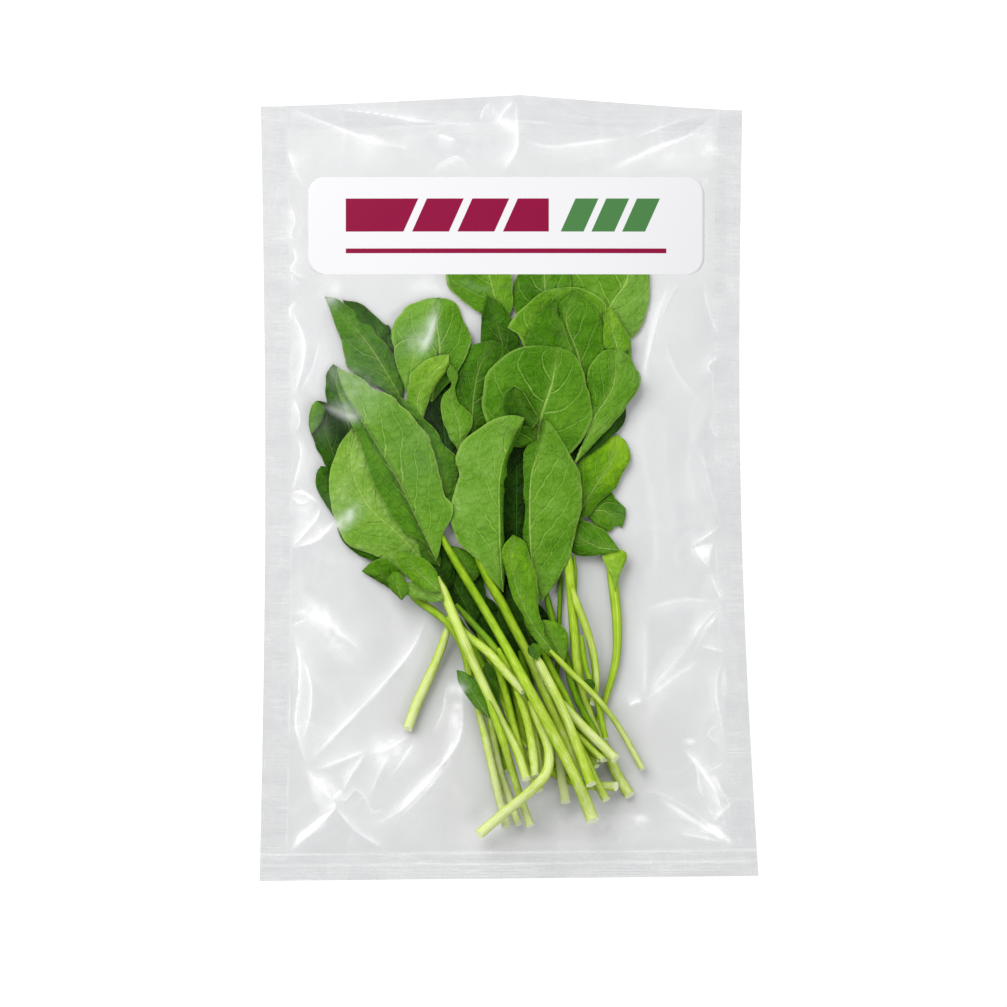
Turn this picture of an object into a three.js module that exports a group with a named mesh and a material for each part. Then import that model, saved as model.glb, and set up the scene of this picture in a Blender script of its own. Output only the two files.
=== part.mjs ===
// A sealed clear-film pouch of leaf salad, lying on its back with its label side up.
//
// The pouch is modelled as the space that it takes up: one closed solid, from the film that lies on the
// table to the film that is stretched over the bunch of leaves, with the flat welded bands all round it.
// The label is a thin rounded slab that follows the front film.
//
// Millimetres. +X runs across the pouch to the right, +Y along it towards the top seal, and +Z up, out of
// the front film. The origin is at the middle of the pouch, on the surface that it lies on.

import * as THREE from "three";

// ---------------------------------------------------------------- driving dimensions

const POUCH = {
  bottomWidth: 187, // across the welds at the bottom seal
  topWidth: 180.6, // across the welds at the top seal
  leftHeight: 290.4,
  rightHeight: 287,
  bottomRise: 1.9, // how much higher the bottom right corner lies than the bottom left one
  topInset: 0.4, // how far the top left corner lies inside the bottom left one
  topPeak: 5.1, // how far the top edge rises over the line between its corners
  topPeakPlace: 0.54, // where along the top edge it is highest
  topPeakSharpness: 1.25, // 1 is two straight lines, and more is a sharper peak
  leftWaist: 1.9, // how far the left side is drawn in at half height
  rightWaist: 3.6,
};

const WELD = {
  side: 9.6, // width of the welded bands
  bottom: 10.2,
  top: 9.6,
  thickness: 0.8,
  height: 3.2, // of the middle of the band over the table
  cornerHeight: 1.2,
  wave: 0.5, // how far the band rises and falls along its length
  wavelength: 62,
};

const PILLOW = {
  air: 11.5, // height of the film where only air is under it
  frontReach: 34, // how far inside the weld the front film gets its full height
  backReach: 13, // and the back film lies flat on the table
  cornerFullness: 0.8, // under 1, the film stays full further into the corners
};

// What holds the film up: the heap of leaves with its two crowns, the leaves under the label, and the
// stalks. Each is a smooth mound with its centre, half lengths, turn in degrees and height over the air.
const MOUNDS = [
  { x: -6, y: 28, along: 84, across: 82, turn: 0, height: 9 },
  { x: 24, y: 40, along: 54, across: 46, turn: 0, height: 2.6 },
  { x: -40, y: 12, along: 54, across: 38, turn: 16, height: 2.6 },
  { x: 2, y: 90, along: 44, across: 76, turn: 0, height: 3.2 },
  { x: 4, y: -74, along: 76, across: 36, turn: 22, height: 4.8 },
];

// The film gathers in small folds where it leaves a weld. Their ridges run square to it and die away
// inwards. The folds are unevenly spaced: each run of them is stretched and crowded over its drift length.
const PUCKER = {
  height: 1.1,
  spacing: 27,
  reach: 26,
  start: 4, // distance from the weld over which a fold grows
  side: { share: 1, drift: 31, crowding: 1.7 },
  bottom: { share: 0.7, drift: 23, crowding: 2.1 },
  top: { share: 0.35, drift: 23, crowding: 2.1 },
};

// One long crease runs in from each inner corner of the welds.
const CREASE = {
  height: 1.5,
  length: 62,
  width: 7,
  turns: { bottomLeft: 48, bottomRight: 139, topLeft: -27, topRight: 208 },
};

const LABEL = {
  width: 148.5,
  height: 36.4,
  cornerRadius: 6.3,
  x: -1.1,
  y: 98.5,
  thickness: 0.4,
  gap: 0.3, // between the label and the film that it is stuck to
  flatMargin: 9, // the film is smooth under the label and this far round it
};

const GRID = {
  pouchColumns: 30, // cells between the welds
  pouchRows: 46,
  crowding: 0.35, // 0 is even cells, and more makes them narrower towards the welds
  labelColumns: 24,
  labelRows: 10,
};

const COLOURS = {
  film: 0xe3e4e6,
  label: 0xfbfbfd,
};

// ---------------------------------------------------------------- small helpers

const { lerp, degToRad, smoothstep, clamp } = THREE.MathUtils;

// Rises from 0 at the weld to 1 at the given reach, steeply at first, as a blown-up film does.
function swell(distance, reach) {
  return Math.sin((clamp(distance / reach, 0, 1) * Math.PI) / 2);
}

// A smooth hill that is 1 in its middle and 0 outside its half lengths.
function hill(x, y, { along, across, turn }) {
  const angle = degToRad(turn);
  const u = (x * Math.cos(angle) + y * Math.sin(angle)) / across;
  const v = (y * Math.cos(angle) - x * Math.sin(angle)) / along;
  return smoothstep(1 - u * u - v * v, 0, 1);
}

// ---------------------------------------------------------------- the pouch's outline

const bottomLeft = { x: -POUCH.bottomWidth / 2, y: -(POUCH.leftHeight + POUCH.topPeak) / 2 };
const bottomRight = { x: POUCH.bottomWidth / 2, y: bottomLeft.y + POUCH.bottomRise };
const topLeft = { x: bottomLeft.x + POUCH.topInset, y: bottomLeft.y + POUCH.leftHeight };
const topRight = { x: topLeft.x + POUCH.topWidth, y: bottomRight.y + POUCH.rightHeight };

// A point of the outline is found from its share of the width, s, and of the height, t. The opposite
// edges are joined by straight lines, which gives every point inside the outline a place too.
function leftEdge(t) {
  return lerp(bottomLeft.x, topLeft.x, t) + POUCH.leftWaist * Math.sin(Math.PI * t);
}

function rightEdge(t) {
  return lerp(bottomRight.x, topRight.x, t) - POUCH.rightWaist * Math.sin(Math.PI * t);
}

function bottomEdge(s) {
  return lerp(bottomLeft.y, bottomRight.y, s);
}

function topEdge(s) {
  const rise = s < POUCH.topPeakPlace ? s / POUCH.topPeakPlace : (1 - s) / (1 - POUCH.topPeakPlace);
  const peak = POUCH.topPeak * clamp(rise, 0, 1) ** POUCH.topPeakSharpness;
  return lerp(topLeft.y, topRight.y, s) + peak;
}

function placeOf(s, t) {
  return {
    x: lerp(leftEdge(t), rightEdge(t), s),
    y: lerp(bottomEdge(s), topEdge(s), t),
  };
}

// ---------------------------------------------------------------- the pouch's height

// How far a point is inside each inner weld line. It is negative on the weld itself.
function insideWelds(s, t) {
  const { x, y } = placeOf(s, t);
  return {
    left: x - leftEdge(t) - WELD.side,
    right: rightEdge(t) - x - WELD.side,
    bottom: y - bottomEdge(s) - WELD.bottom,
    top: topEdge(s) - y - WELD.top,
  };
}

// The welded bands lie close over the table at the corners, and rise a little between them.
function weldHeight(s, t) {
  const between = Math.max(Math.sin(Math.PI * s), Math.sin(Math.PI * t));
  const { x, y } = placeOf(s, t);
  const wave = Math.sin(((x - y) * 2 * Math.PI) / WELD.wavelength);
  return lerp(WELD.cornerHeight, WELD.height, between) + WELD.wave * wave * between;
}

// The folds of one run, at a distance along the weld and a distance inside it.
function foldsOf({ share, drift, crowding }, alongWeld, fromWeld) {
  const turn = (2 * Math.PI * alongWeld) / PUCKER.spacing + crowding * Math.sin(alongWeld / drift);
  const fading = Math.exp(-fromWeld / PUCKER.reach) * clamp(fromWeld / PUCKER.start, 0, 1);
  return PUCKER.height * share * Math.sin(turn) * fading;
}

function puckers(s, t, { left, right, bottom, top }) {
  const { x, y } = placeOf(s, t);
  const sides = foldsOf(PUCKER.side, y, left) - foldsOf(PUCKER.side, y, right);
  return sides + foldsOf(PUCKER.bottom, x, bottom) + foldsOf(PUCKER.top, x, top);
}

// The four creases start where two inner weld lines meet.
const creaseStarts = Object.entries({
  bottomLeft: [bottomLeft.x + WELD.side, bottomLeft.y + WELD.bottom],
  bottomRight: [bottomRight.x - WELD.side, bottomRight.y + WELD.bottom],
  topLeft: [topLeft.x + WELD.side, topLeft.y - WELD.top],
  topRight: [topRight.x - WELD.side, topRight.y - WELD.top],
}).map(([corner, [x, y]]) => ({ x, y, angle: degToRad(CREASE.turns[corner]) }));

function creases(x, y) {
  let height = 0;
  for (const start of creaseStarts) {
    const along = (x - start.x) * Math.cos(start.angle) + (y - start.y) * Math.sin(start.angle);
    const aside = (y - start.y) * Math.cos(start.angle) - (x - start.x) * Math.sin(start.angle);
    const share = along / CREASE.length;
    if (share > 0 && share < 1) {
      height += CREASE.height * Math.sin(Math.PI * share) * Math.exp(-((aside / CREASE.width) ** 2));
    }
  }
  return height;
}

// 0 under the label, 1 away from it: the stiff label keeps the film under it smooth.
function awayFromLabel(x, y) {
  const outside = Math.max(
    Math.abs(x - LABEL.x) - LABEL.width / 2,
    Math.abs(y - LABEL.y) - LABEL.height / 2,
  );
  return smoothstep(outside, 0, LABEL.flatMargin);
}

function frontHeight(s, t) {
  const { x, y } = placeOf(s, t);
  const inside = insideWelds(s, t);
  const distances = Object.values(inside);
  const seam = weldHeight(s, t) + WELD.thickness / 2;
  if (Math.min(...distances) <= 0) return seam;
  const contents = MOUNDS.reduce(
    (sum, mound) => sum + mound.height * hill(x - mound.x, y - mound.y, mound),
    0,
  );
  const blown = distances.reduce(
    (product, distance) => product * swell(distance, PILLOW.frontReach),
    1,
  );
  const folds = (puckers(s, t, inside) + creases(x, y)) * awayFromLabel(x, y);
  const fullness = blown ** PILLOW.cornerFullness;
  return seam + (PILLOW.air + contents - seam) * fullness + folds * Math.sqrt(blown);
}

function backHeight(s, t) {
  const seam = weldHeight(s, t) - WELD.thickness / 2;
  const nearest = Math.min(...Object.values(insideWelds(s, t)));
  return seam * (1 - swell(nearest, PILLOW.backReach));
}

// ---------------------------------------------------------------- solids

// Grid lines over a length, as shares of it: one cell on each weld, and the rest between them, closer
// together towards the welds, where the film bends most.
function gridLines(length, firstWeld, lastWeld, cells) {
  const lines = [0];
  for (let i = 0; i <= cells; i++) {
    const even = i / cells;
    const crowded = (1 - Math.cos(Math.PI * even)) / 2;
    lines.push(firstWeld + (length - firstWeld - lastWeld) * lerp(even, crowded, GRID.crowding));
  }
  lines.push(length);
  return lines.map((line) => line / length);
}

// A box with rows and columns of cells, with each of its points moved by a function of its column, row
// and side. The box is closed, so the moved one is closed too.
function shapedBox(columns, rows, move) {
  const box = new THREE.BoxGeometry(1, 1, 1, columns, rows, 1);
  const point = box.getAttribute("position");
  for (let i = 0; i < point.count; i++) {
    const column = Math.round((point.getX(i) + 0.5) * columns);
    const row = Math.round((point.getY(i) + 0.5) * rows);
    point.setXYZ(i, ...move(column, row, point.getZ(i) > 0));
  }
  box.computeVertexNormals();
  return box;
}

function pouchGeometry() {
  const meanWidth = (POUCH.bottomWidth + POUCH.topWidth) / 2;
  const meanHeight = (POUCH.leftHeight + POUCH.rightHeight) / 2;
  const across = gridLines(meanWidth, WELD.side, WELD.side, GRID.pouchColumns);
  const along = gridLines(meanHeight, WELD.bottom, WELD.top, GRID.pouchRows);
  return shapedBox(across.length - 1, along.length - 1, (column, row, front) => {
    const s = across[column];
    const t = along[row];
    const { x, y } = placeOf(s, t);
    return [x, y, front ? frontHeight(s, t) : backHeight(s, t)];
  });
}

// The share of the width and height that a point of the table plane has on the pouch. Each pass of the
// loop comes closer, and a handful are enough because the outline is nearly a rectangle.
function sharesOf(x, y) {
  const passes = 6;
  let s = 0.5;
  let t = 0.5;
  for (let pass = 0; pass < passes; pass++) {
    s = (x - leftEdge(t)) / (rightEdge(t) - leftEdge(t));
    t = (y - bottomEdge(s)) / (topEdge(s) - bottomEdge(s));
  }
  return [s, t];
}

// The label's rows are closer together at its rounded corners, where each row has its own width.
function labelGeometry() {
  const { width, height, cornerRadius, x, y, thickness, gap } = LABEL;
  return shapedBox(GRID.labelColumns, GRID.labelRows, (column, row, front) => {
    const rowAngle = (Math.PI * row) / GRID.labelRows;
    const fromMiddle = (-Math.cos(rowAngle) * height) / 2;
    const intoCorner = clamp(Math.abs(fromMiddle) - (height / 2 - cornerRadius), 0, cornerRadius);
    const drawnIn = cornerRadius - Math.sqrt(cornerRadius ** 2 - intoCorner ** 2);
    const fromCentre = ((2 * column) / GRID.labelColumns - 1) * (width / 2 - drawnIn);
    const film = frontHeight(...sharesOf(x + fromCentre, y + fromMiddle));
    return [x + fromCentre, y + fromMiddle, film + gap + (front ? thickness : 0)];
  });
}

// ---------------------------------------------------------------- the object

function meshOf(name, geometry, settings) {
  const mesh = new THREE.Mesh(geometry, new THREE.MeshStandardMaterial({ metalness: 0, ...settings }));
  mesh.name = name;
  return mesh;
}

const pack = new THREE.Group();
pack.name = "leaf_pack";
pack.add(
  meshOf("pouch", pouchGeometry(), {
    color: COLOURS.film,
    roughness: 0.12,
    transparent: true,
    opacity: 0.35,
  }),
  meshOf("label", labelGeometry(), { color: COLOURS.label, roughness: 0.45 }),
);

// The outline is a little lopsided, so the whole is moved to put the middle of its box on the origin.
const extent = new THREE.Box3().setFromObject(pack, true);
const middle = extent.getCenter(new THREE.Vector3());
for (const mesh of pack.children) mesh.position.set(-middle.x, -middle.y, -extent.min.z);

export default pack;
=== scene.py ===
"""A sealed clear-film pouch of leaf salad, lying on its back with its label side up.

The clear film is two sheets that are welded together all round: a back one that lies flat on the table and
a front one that is stretched over the bunch. The bunch is laid leaf by leaf and stalk by stalk, from the
table up, and the front film and the label come last.

Lengths are worked out in millimetres and turned into metres when a mesh is made. +X runs across the pouch
to the right, +Y along it towards the top seal, and +Z up, out of the front film.
"""

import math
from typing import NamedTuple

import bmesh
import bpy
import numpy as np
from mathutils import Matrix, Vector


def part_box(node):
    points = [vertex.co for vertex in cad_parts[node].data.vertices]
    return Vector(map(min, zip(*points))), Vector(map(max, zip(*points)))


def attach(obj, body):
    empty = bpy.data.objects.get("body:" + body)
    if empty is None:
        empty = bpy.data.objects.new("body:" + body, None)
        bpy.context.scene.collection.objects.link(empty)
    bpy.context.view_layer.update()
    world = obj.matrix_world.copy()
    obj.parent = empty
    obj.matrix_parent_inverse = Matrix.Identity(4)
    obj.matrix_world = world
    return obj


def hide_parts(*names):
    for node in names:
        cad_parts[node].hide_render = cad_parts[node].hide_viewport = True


bl_info = {
    "name": "Leaf Salad Pouch",
    "version": (1, 0, 0),
    "blender": (4, 5, 0),
    "location": "3D View > Sidebar > Leaf Pouch",
    "description": "Builds a clear-film pouch of leaf salad, with its leaves, stalks and label",
    "category": "Object",
}

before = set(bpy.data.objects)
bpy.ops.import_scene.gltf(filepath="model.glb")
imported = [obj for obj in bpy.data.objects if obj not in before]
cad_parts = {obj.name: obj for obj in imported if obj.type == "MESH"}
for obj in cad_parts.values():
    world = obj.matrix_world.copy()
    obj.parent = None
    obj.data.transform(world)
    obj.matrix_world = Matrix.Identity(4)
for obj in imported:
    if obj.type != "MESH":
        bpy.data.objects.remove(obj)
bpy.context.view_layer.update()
pouch_low, pouch_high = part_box("pouch")
label_low, label_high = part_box("label")

MM = 0.001  # metres in a millimetre
STAGE_LIGHT = 1.63  # how much brighter than its own colour a flat thing looks on the stage
FILM_LIGHT = 1.41  # the same for a thing under the front film

# Outlines and routes are read from the photo in its pixels, as across and down.
PHOTO_SIDE = 1007
PHOTO_MIDDLE = (509.0, 488.0)  # the pixel that lies over the middle of the pouch
MM_PER_PIXEL = 0.375

# ------------------------------------------------------------------ the pouch's sizes, in millimetres

OUTLINE = {
    "left": pouch_low.x / MM,
    "bottom": pouch_low.y / MM,
    "bottom_width": (pouch_high.x - pouch_low.x) / MM,
    "top_width": 180.6,
    "left_height": 290.4,
    "right_height": 287.0,
    "bottom_rise": 1.9,
    "top_inset": 0.4,
    "top_peak": 5.1,
    "top_peak_place": 0.54,
    "top_peak_sharpness": 1.25,
    "left_waist": 1.9,
    "right_waist": 3.6,
}

WELD = {
    "side": 9.6,
    "bottom": 10.2,
    "top": 9.6,
    "thickness": 0.5,
    "height": 3.2,
    "corner_height": 1.2,
    "wave": 0.5,
    "wavelength": 62.0,
}

PILLOW = {"air": 11.5, "front_reach": 34.0, "back_reach": 13.0, "corner_fullness": 0.8}


class Mound(NamedTuple):
    """A smooth hill in the front film, where the contents hold it up."""

    x: float
    y: float
    along: float
    across: float
    turn: float
    height: float


MOUNDS = [
    Mound(-6, 28, 84, 82, 0, 9),
    Mound(24, 40, 54, 46, 0, 2.6),
    Mound(-40, 12, 54, 38, 16, 2.6),
    Mound(2, 90, 44, 76, 0, 3.2),
    Mound(4, -74, 76, 36, 22, 4.8),
]

PUCKER = {"height": 0.8, "spacing": 27.0, "reach": 26.0, "start": 4.0}

LABEL_DROP = 0.8  # how much lower the label sits than its solid

LABEL = {
    "width": (label_high.x - label_low.x) / MM,
    "height": (label_high.y - label_low.y) / MM,
    "x": (label_low.x + label_high.x) / 2 / MM,
    "y": (label_low.y + label_high.y) / 2 / MM - LABEL_DROP,
    "corner_radius": 6.3,
    "flat_margin": 9.0,
    "level": 15.0,
    "droop": 4.0,
    "flatness": 0.86,
}


# ------------------------------------------------------------------ number helpers


def mix(low, high, share):
    """The value at a share of the way from low to high."""
    return low + (high - low) * share


def ease(value, low, high):
    """0 below low, 1 above high, and a soft step between them."""
    share = np.clip((value - low) / (high - low), 0, 1)
    return share * share * (3 - 2 * share)


def on_table(points):
    """Photo pixels as millimetres on the table."""
    across, down = np.asarray(points, float).T
    return np.column_stack((across - PHOTO_MIDDLE[0], PHOTO_MIDDLE[1] - down)) * MM_PER_PIXEL


NOISE_SIDE = 64


def unevenness(x, y, cell, seed):
    """Smooth noise from -1 to 1 with hills about one cell across, the same on each run."""
    lattice = np.random.default_rng(seed).uniform(-1, 1, (NOISE_SIDE, NOISE_SIDE))
    column, row = np.asarray(x) / cell, np.asarray(y) / cell
    left, below = np.floor(column).astype(int), np.floor(row).astype(int)
    across, up = ease(column - left, 0, 1), ease(row - below, 0, 1)
    corner = lambda i, j: lattice[(left + i) % NOISE_SIDE, (below + j) % NOISE_SIDE]
    low = mix(corner(0, 0), corner(1, 0), across)
    high = mix(corner(0, 1), corner(1, 1), across)
    return mix(low, high, up)


CURVE_STEPS = 14  # steps between two points of a curve


def curve_through(points, count):
    """Evenly spaced places on a smooth curve through the points."""
    points = np.asarray(points, float)
    knots = np.concatenate([[0], np.cumsum(np.sqrt(np.linalg.norm(np.diff(points, axis=0), axis=1)))])
    slopes = np.gradient(points, knots, axis=0)
    fine = np.linspace(0, knots[-1], CURVE_STEPS * (len(points) - 1) + 1)
    span = np.clip(np.searchsorted(knots, fine, side="right") - 1, 0, len(points) - 2)
    width = (knots[span + 1] - knots[span])[:, None]
    t = (fine - knots[span])[:, None] / width
    start = (2 * t**3 - 3 * t**2 + 1) * points[span] + (t**3 - 2 * t**2 + t) * width * slopes[span]
    end = (3 * t**2 - 2 * t**3) * points[span + 1] + (t**3 - t**2) * width * slopes[span + 1]
    line = start + end
    length = np.concatenate([[0], np.cumsum(np.linalg.norm(np.diff(line, axis=0), axis=1))])
    even = np.linspace(0, length[-1], count)
    return np.column_stack([np.interp(even, length, line[:, k]) for k in range(line.shape[1])])


def blurred(field, passes=1):
    """A grid of heights, each averaged with its neighbours."""
    for _ in range(passes):
        padded = np.pad(field, 1, mode="edge")
        rows = (padded[:-2] + 2 * padded[1:-1] + padded[2:]) / 4
        field = (rows[:, :-2] + 2 * rows[:, 1:-1] + rows[:, 2:]) / 4
    return field


def spread(field, passes=1):
    """A grid of heights, each raised to its highest neighbour."""
    for _ in range(passes):
        padded = np.pad(field, 1, mode="edge")
        rows = np.maximum(np.maximum(padded[:-2], padded[1:-1]), padded[2:])
        field = np.maximum(np.maximum(rows[:, :-2], rows[:, 1:-1]), rows[:, 2:])
    return field


# ------------------------------------------------------------------ meshes


def grid_mesh(name, columns, rows):
    """A grid in the XY plane as a mesh, with each vertex's share of the width and of the height."""
    bm = bmesh.new()
    bmesh.ops.create_grid(bm, x_segments=columns, y_segments=rows, size=0.5)
    mesh = bpy.data.meshes.new(name)
    bm.to_mesh(mesh)
    bm.free()
    places = np.empty(len(mesh.vertices) * 3)
    mesh.vertices.foreach_get("co", places)
    places = places.reshape(-1, 3)
    column = np.rint((places[:, 0] + 0.5) * columns).astype(int)
    row = np.rint((places[:, 1] + 0.5) * rows).astype(int)
    return mesh, column, row


def set_places(mesh, x, y, z):
    """Puts a mesh's vertices at these places, in millimetres."""
    mesh.vertices.foreach_set("co", (np.column_stack((x, y, z)) * MM).ravel())
    mesh.update()


def set_field(mesh, name, values):
    """Gives each vertex a number that a material can read."""
    layer = mesh.attributes.new(name, "FLOAT", "POINT")
    layer.data.foreach_set("value", np.asarray(values, np.float32).ravel())


def add_piece(name, mesh, materials, replaced):
    """Shows a mesh as a piece of the pouch, in place of a solid of the frame."""
    for material in materials:
        mesh.materials.append(material)
    mesh.polygons.foreach_set("use_smooth", np.ones(len(mesh.polygons), bool))
    piece = bpy.data.objects.new(name, mesh)
    bpy.context.scene.collection.objects.link(piece)
    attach(piece, "root")
    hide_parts(replaced)
    return piece


# ------------------------------------------------------------------ shader helpers


class Flow:
    """A value that flows through a material's nodes, with Python's sums on it."""

    def __init__(self, paint, socket):
        self.paint = paint
        self.socket = socket

    def sum_with(self, operation, first, second=0.0, third=0.0):
        values = {0: first, 1: second, 2: third}
        return self.paint.node("Math", {"operation": operation}, values)

    def __add__(self, other):
        return self.sum_with("ADD", self, other)

    def __sub__(self, other):
        return self.sum_with("SUBTRACT", self, other)

    def __rsub__(self, other):
        return self.sum_with("SUBTRACT", other, self)

    def __mul__(self, other):
        return self.sum_with("MULTIPLY", self, other)

    def __truediv__(self, other):
        return self.sum_with("DIVIDE", self, other)

    def __pow__(self, other):
        return self.sum_with("POWER", self, other)

    def __abs__(self):
        return self.sum_with("ABSOLUTE", self)

    __radd__ = __add__
    __rmul__ = __mul__

    def least(self, other):
        return self.sum_with("MINIMUM", self, other)

    def most(self, other):
        return self.sum_with("MAXIMUM", self, other)

    def fraction(self):
        return self.sum_with("FRACT", self)

    def ease(self, low, high):
        """0 at low, 1 at high, and a soft step between them. Low may be the greater one."""
        ranges = {"Value": self, "From Min": low, "From Max": high}
        return self.paint.node("MapRange", {"interpolation_type": "SMOOTHSTEP"}, ranges)


class Paint:
    """A material whose nodes are added one by one."""

    def __init__(self, name):
        self.material = bpy.data.materials.new(name)
        self.material.use_nodes = True
        self.tree = self.material.node_tree
        self.tree.nodes.clear()

    def node(self, kind, settings=None, inputs=None, output=0):
        """Adds a node: its settings first, then the values or links of its sockets."""
        node = self.tree.nodes.new("ShaderNode" + kind)
        for key, value in (settings or {}).items():
            if key == "stops":
                self.set_stops(node.color_ramp, value)
            else:
                setattr(node, key, value)
        for key, value in (inputs or {}).items():
            if isinstance(value, Flow):
                self.tree.links.new(value.socket, node.inputs[key])
            else:
                node.inputs[key].default_value = value
        return Flow(self, node.outputs[output]) if node.outputs else None

    def set_stops(self, ramp, stops):
        for place, colour in stops[1:-1]:
            ramp.elements.new(place)
        for element, (place, colour) in zip(ramp.elements, stops):
            element.position = place
            element.color = colour

    def field(self, name):
        """A number that the mesh carries at each vertex."""
        return self.node("Attribute", {"attribute_name": name}, output="Fac")

    def place(self):
        """The point's place on the object, in millimetres, as a vector."""
        metres = self.node("TexCoord", output="Object")
        return self.stretched(metres, (1 / MM,) * 3)

    def stretched(self, vector, factors):
        return self.node("VectorMath", {"operation": "MULTIPLY"}, {0: vector, 1: factors})

    def parts(self, vector):
        """The X, Y and Z of a vector."""
        split = self.node("SeparateXYZ", inputs={0: vector})
        return [Flow(self, split.socket.node.outputs[axis]) for axis in range(3)]

    def drift(self, vector, cell, reach):
        """A vector that wanders from place to place, up to about the reach."""
        values = {"Vector": vector, "Scale": 1 / cell, "Detail": 1.0}
        colour = self.node("TexNoise", {"noise_dimensions": "2D"}, values, output="Color")
        middle = self.node("VectorMath", {"operation": "SUBTRACT"}, {0: colour, 1: (0.5, 0.5, 0.5)})
        return self.stretched(middle, (2 * reach,) * 3)

    def noise(self, vector, cell, detail=2.0, roughness=0.5):
        """Noise from 0 to 1 over X and Y with hills about one cell across, in the vector's units."""
        values = {"Vector": vector, "Scale": 1 / cell, "Detail": detail, "Roughness": roughness}
        return self.node("TexNoise", {"noise_dimensions": "2D"}, values)

    def blend(self, share, first, second):
        """Mixes two colours."""
        return self.node("Mix", {"data_type": "RGBA"}, {0: share, 6: first, 7: second}, output=2)

    def cell_edges(self, vector, cell):
        """How far a point is from the edges of cells about that wide: 0 on an edge."""
        settings = {"feature": "DISTANCE_TO_EDGE", "voronoi_dimensions": "2D"}
        return self.node("TexVoronoi", settings, {"Vector": vector, "Scale": 1 / cell})

    def bump(self, height, distance, strength=1.0):
        """The surface's normal with relief added, its depth in millimetres."""
        values = {"Height": height, "Distance": distance * MM, "Strength": strength}
        return self.node("Bump", inputs=values)

    def finish(self, shader):
        self.node("OutputMaterial", inputs={"Surface": shader})
        return self.material


def srgb(red, green, blue):
    """A colour given as 0 to 255, as the linear colour that a shader takes."""
    parts = (red / 255, green / 255, blue / 255)
    linear = [((part + 0.055) / 1.055) ** 2.4 if part > 0.04 else part / 12.92 for part in parts]
    return (*linear, 1.0)


def seen(red, green, blue, light=FILM_LIGHT):
    """The paint that looks like this colour, given as 0 to 255, under that much light."""
    return (*(share / light for share in srgb(red, green, blue)[:3]), 1.0)


# ------------------------------------------------------------------ settings that a user would change


def share_setting(name, description, default, least=0.0):
    """A setting from 0 to 1."""
    limits = {"min": least, "max": 1.0, "subtype": "FACTOR"}
    return bpy.props.FloatProperty(name=name, description=description, default=default, **limits)


def length_setting(name, description, default, least=0.0):
    """A setting in metres."""
    limits = {"min": least, "unit": "LENGTH"}
    return bpy.props.FloatProperty(name=name, description=description, default=default, **limits)


def colour_setting(name, description, default):
    """A setting that is a colour."""
    limits = {"min": 0.0, "max": 1.0, "size": 3, "subtype": "COLOR"}
    return bpy.props.FloatVectorProperty(name=name, description=description, default=default[:3], **limits)


def plain_setting(name, description, default, least=0.0):
    """A setting that is a plain number."""
    return bpy.props.FloatProperty(name=name, description=description, default=default, min=least)


class PouchFilmSettings(bpy.types.PropertyGroup):
    """The clear film."""

    light_passed: share_setting("Light Passed", "Share of the light that one film lets through", 0.85, 0.5)
    gloss_roughness: share_setting("Gloss Roughness", "How blurred the reflections on the film are", 0.09)
    clearance: length_setting("Clearance", "Least height of the front film over the contents", 0.0012)


class PouchLeafSettings(bpy.types.PropertyGroup):
    """The leaves."""

    thickness: length_setting("Thickness", "Thickness of a leaf blade", 0.0004, 0.0001)
    vein_colour: colour_setting("Vein Colour", "Colour of the veins on the leaves", seen(164, 202, 92))


class PouchStalkSettings(bpy.types.PropertyGroup):
    """The leaf stalks."""

    flatness: share_setting("Flatness", "Height of a stalk as a share of its width", 0.86, 0.3)


class PouchLabelSettings(bpy.types.PropertyGroup):
    """The label."""

    thickness: length_setting("Thickness", "Thickness of the label", 0.00014, 0.00005)
    paper: colour_setting("Paper", "Colour of the bare label", seen(249, 248, 250, STAGE_LIGHT * 1.13))
    first_ink: colour_setting("First Ink", "Colour of the long bars", seen(143, 9, 61, STAGE_LIGHT))
    second_ink: colour_setting("Second Ink", "Colour of the slanted blocks", seen(76, 130, 72, STAGE_LIGHT))


class PouchStageSettings(bpy.types.PropertyGroup):
    """The floor, the light and the camera."""

    camera_lens: plain_setting("Lens", "Focal length of the camera, in millimetres", 600.0, 20.0)
    camera_reach: length_setting("Reach", "Width that the camera sees", PHOTO_SIDE * MM_PER_PIXEL * MM, 0.1)
    room_light: plain_setting("Room Light", "Brightness of the pale room round the pouch", 0.55)
    box_light: plain_setting("Box Light", "Brightness of the soft boxes over the pouch", 7.0)


# ------------------------------------------------------------------ the pouch's outline and its films


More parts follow.
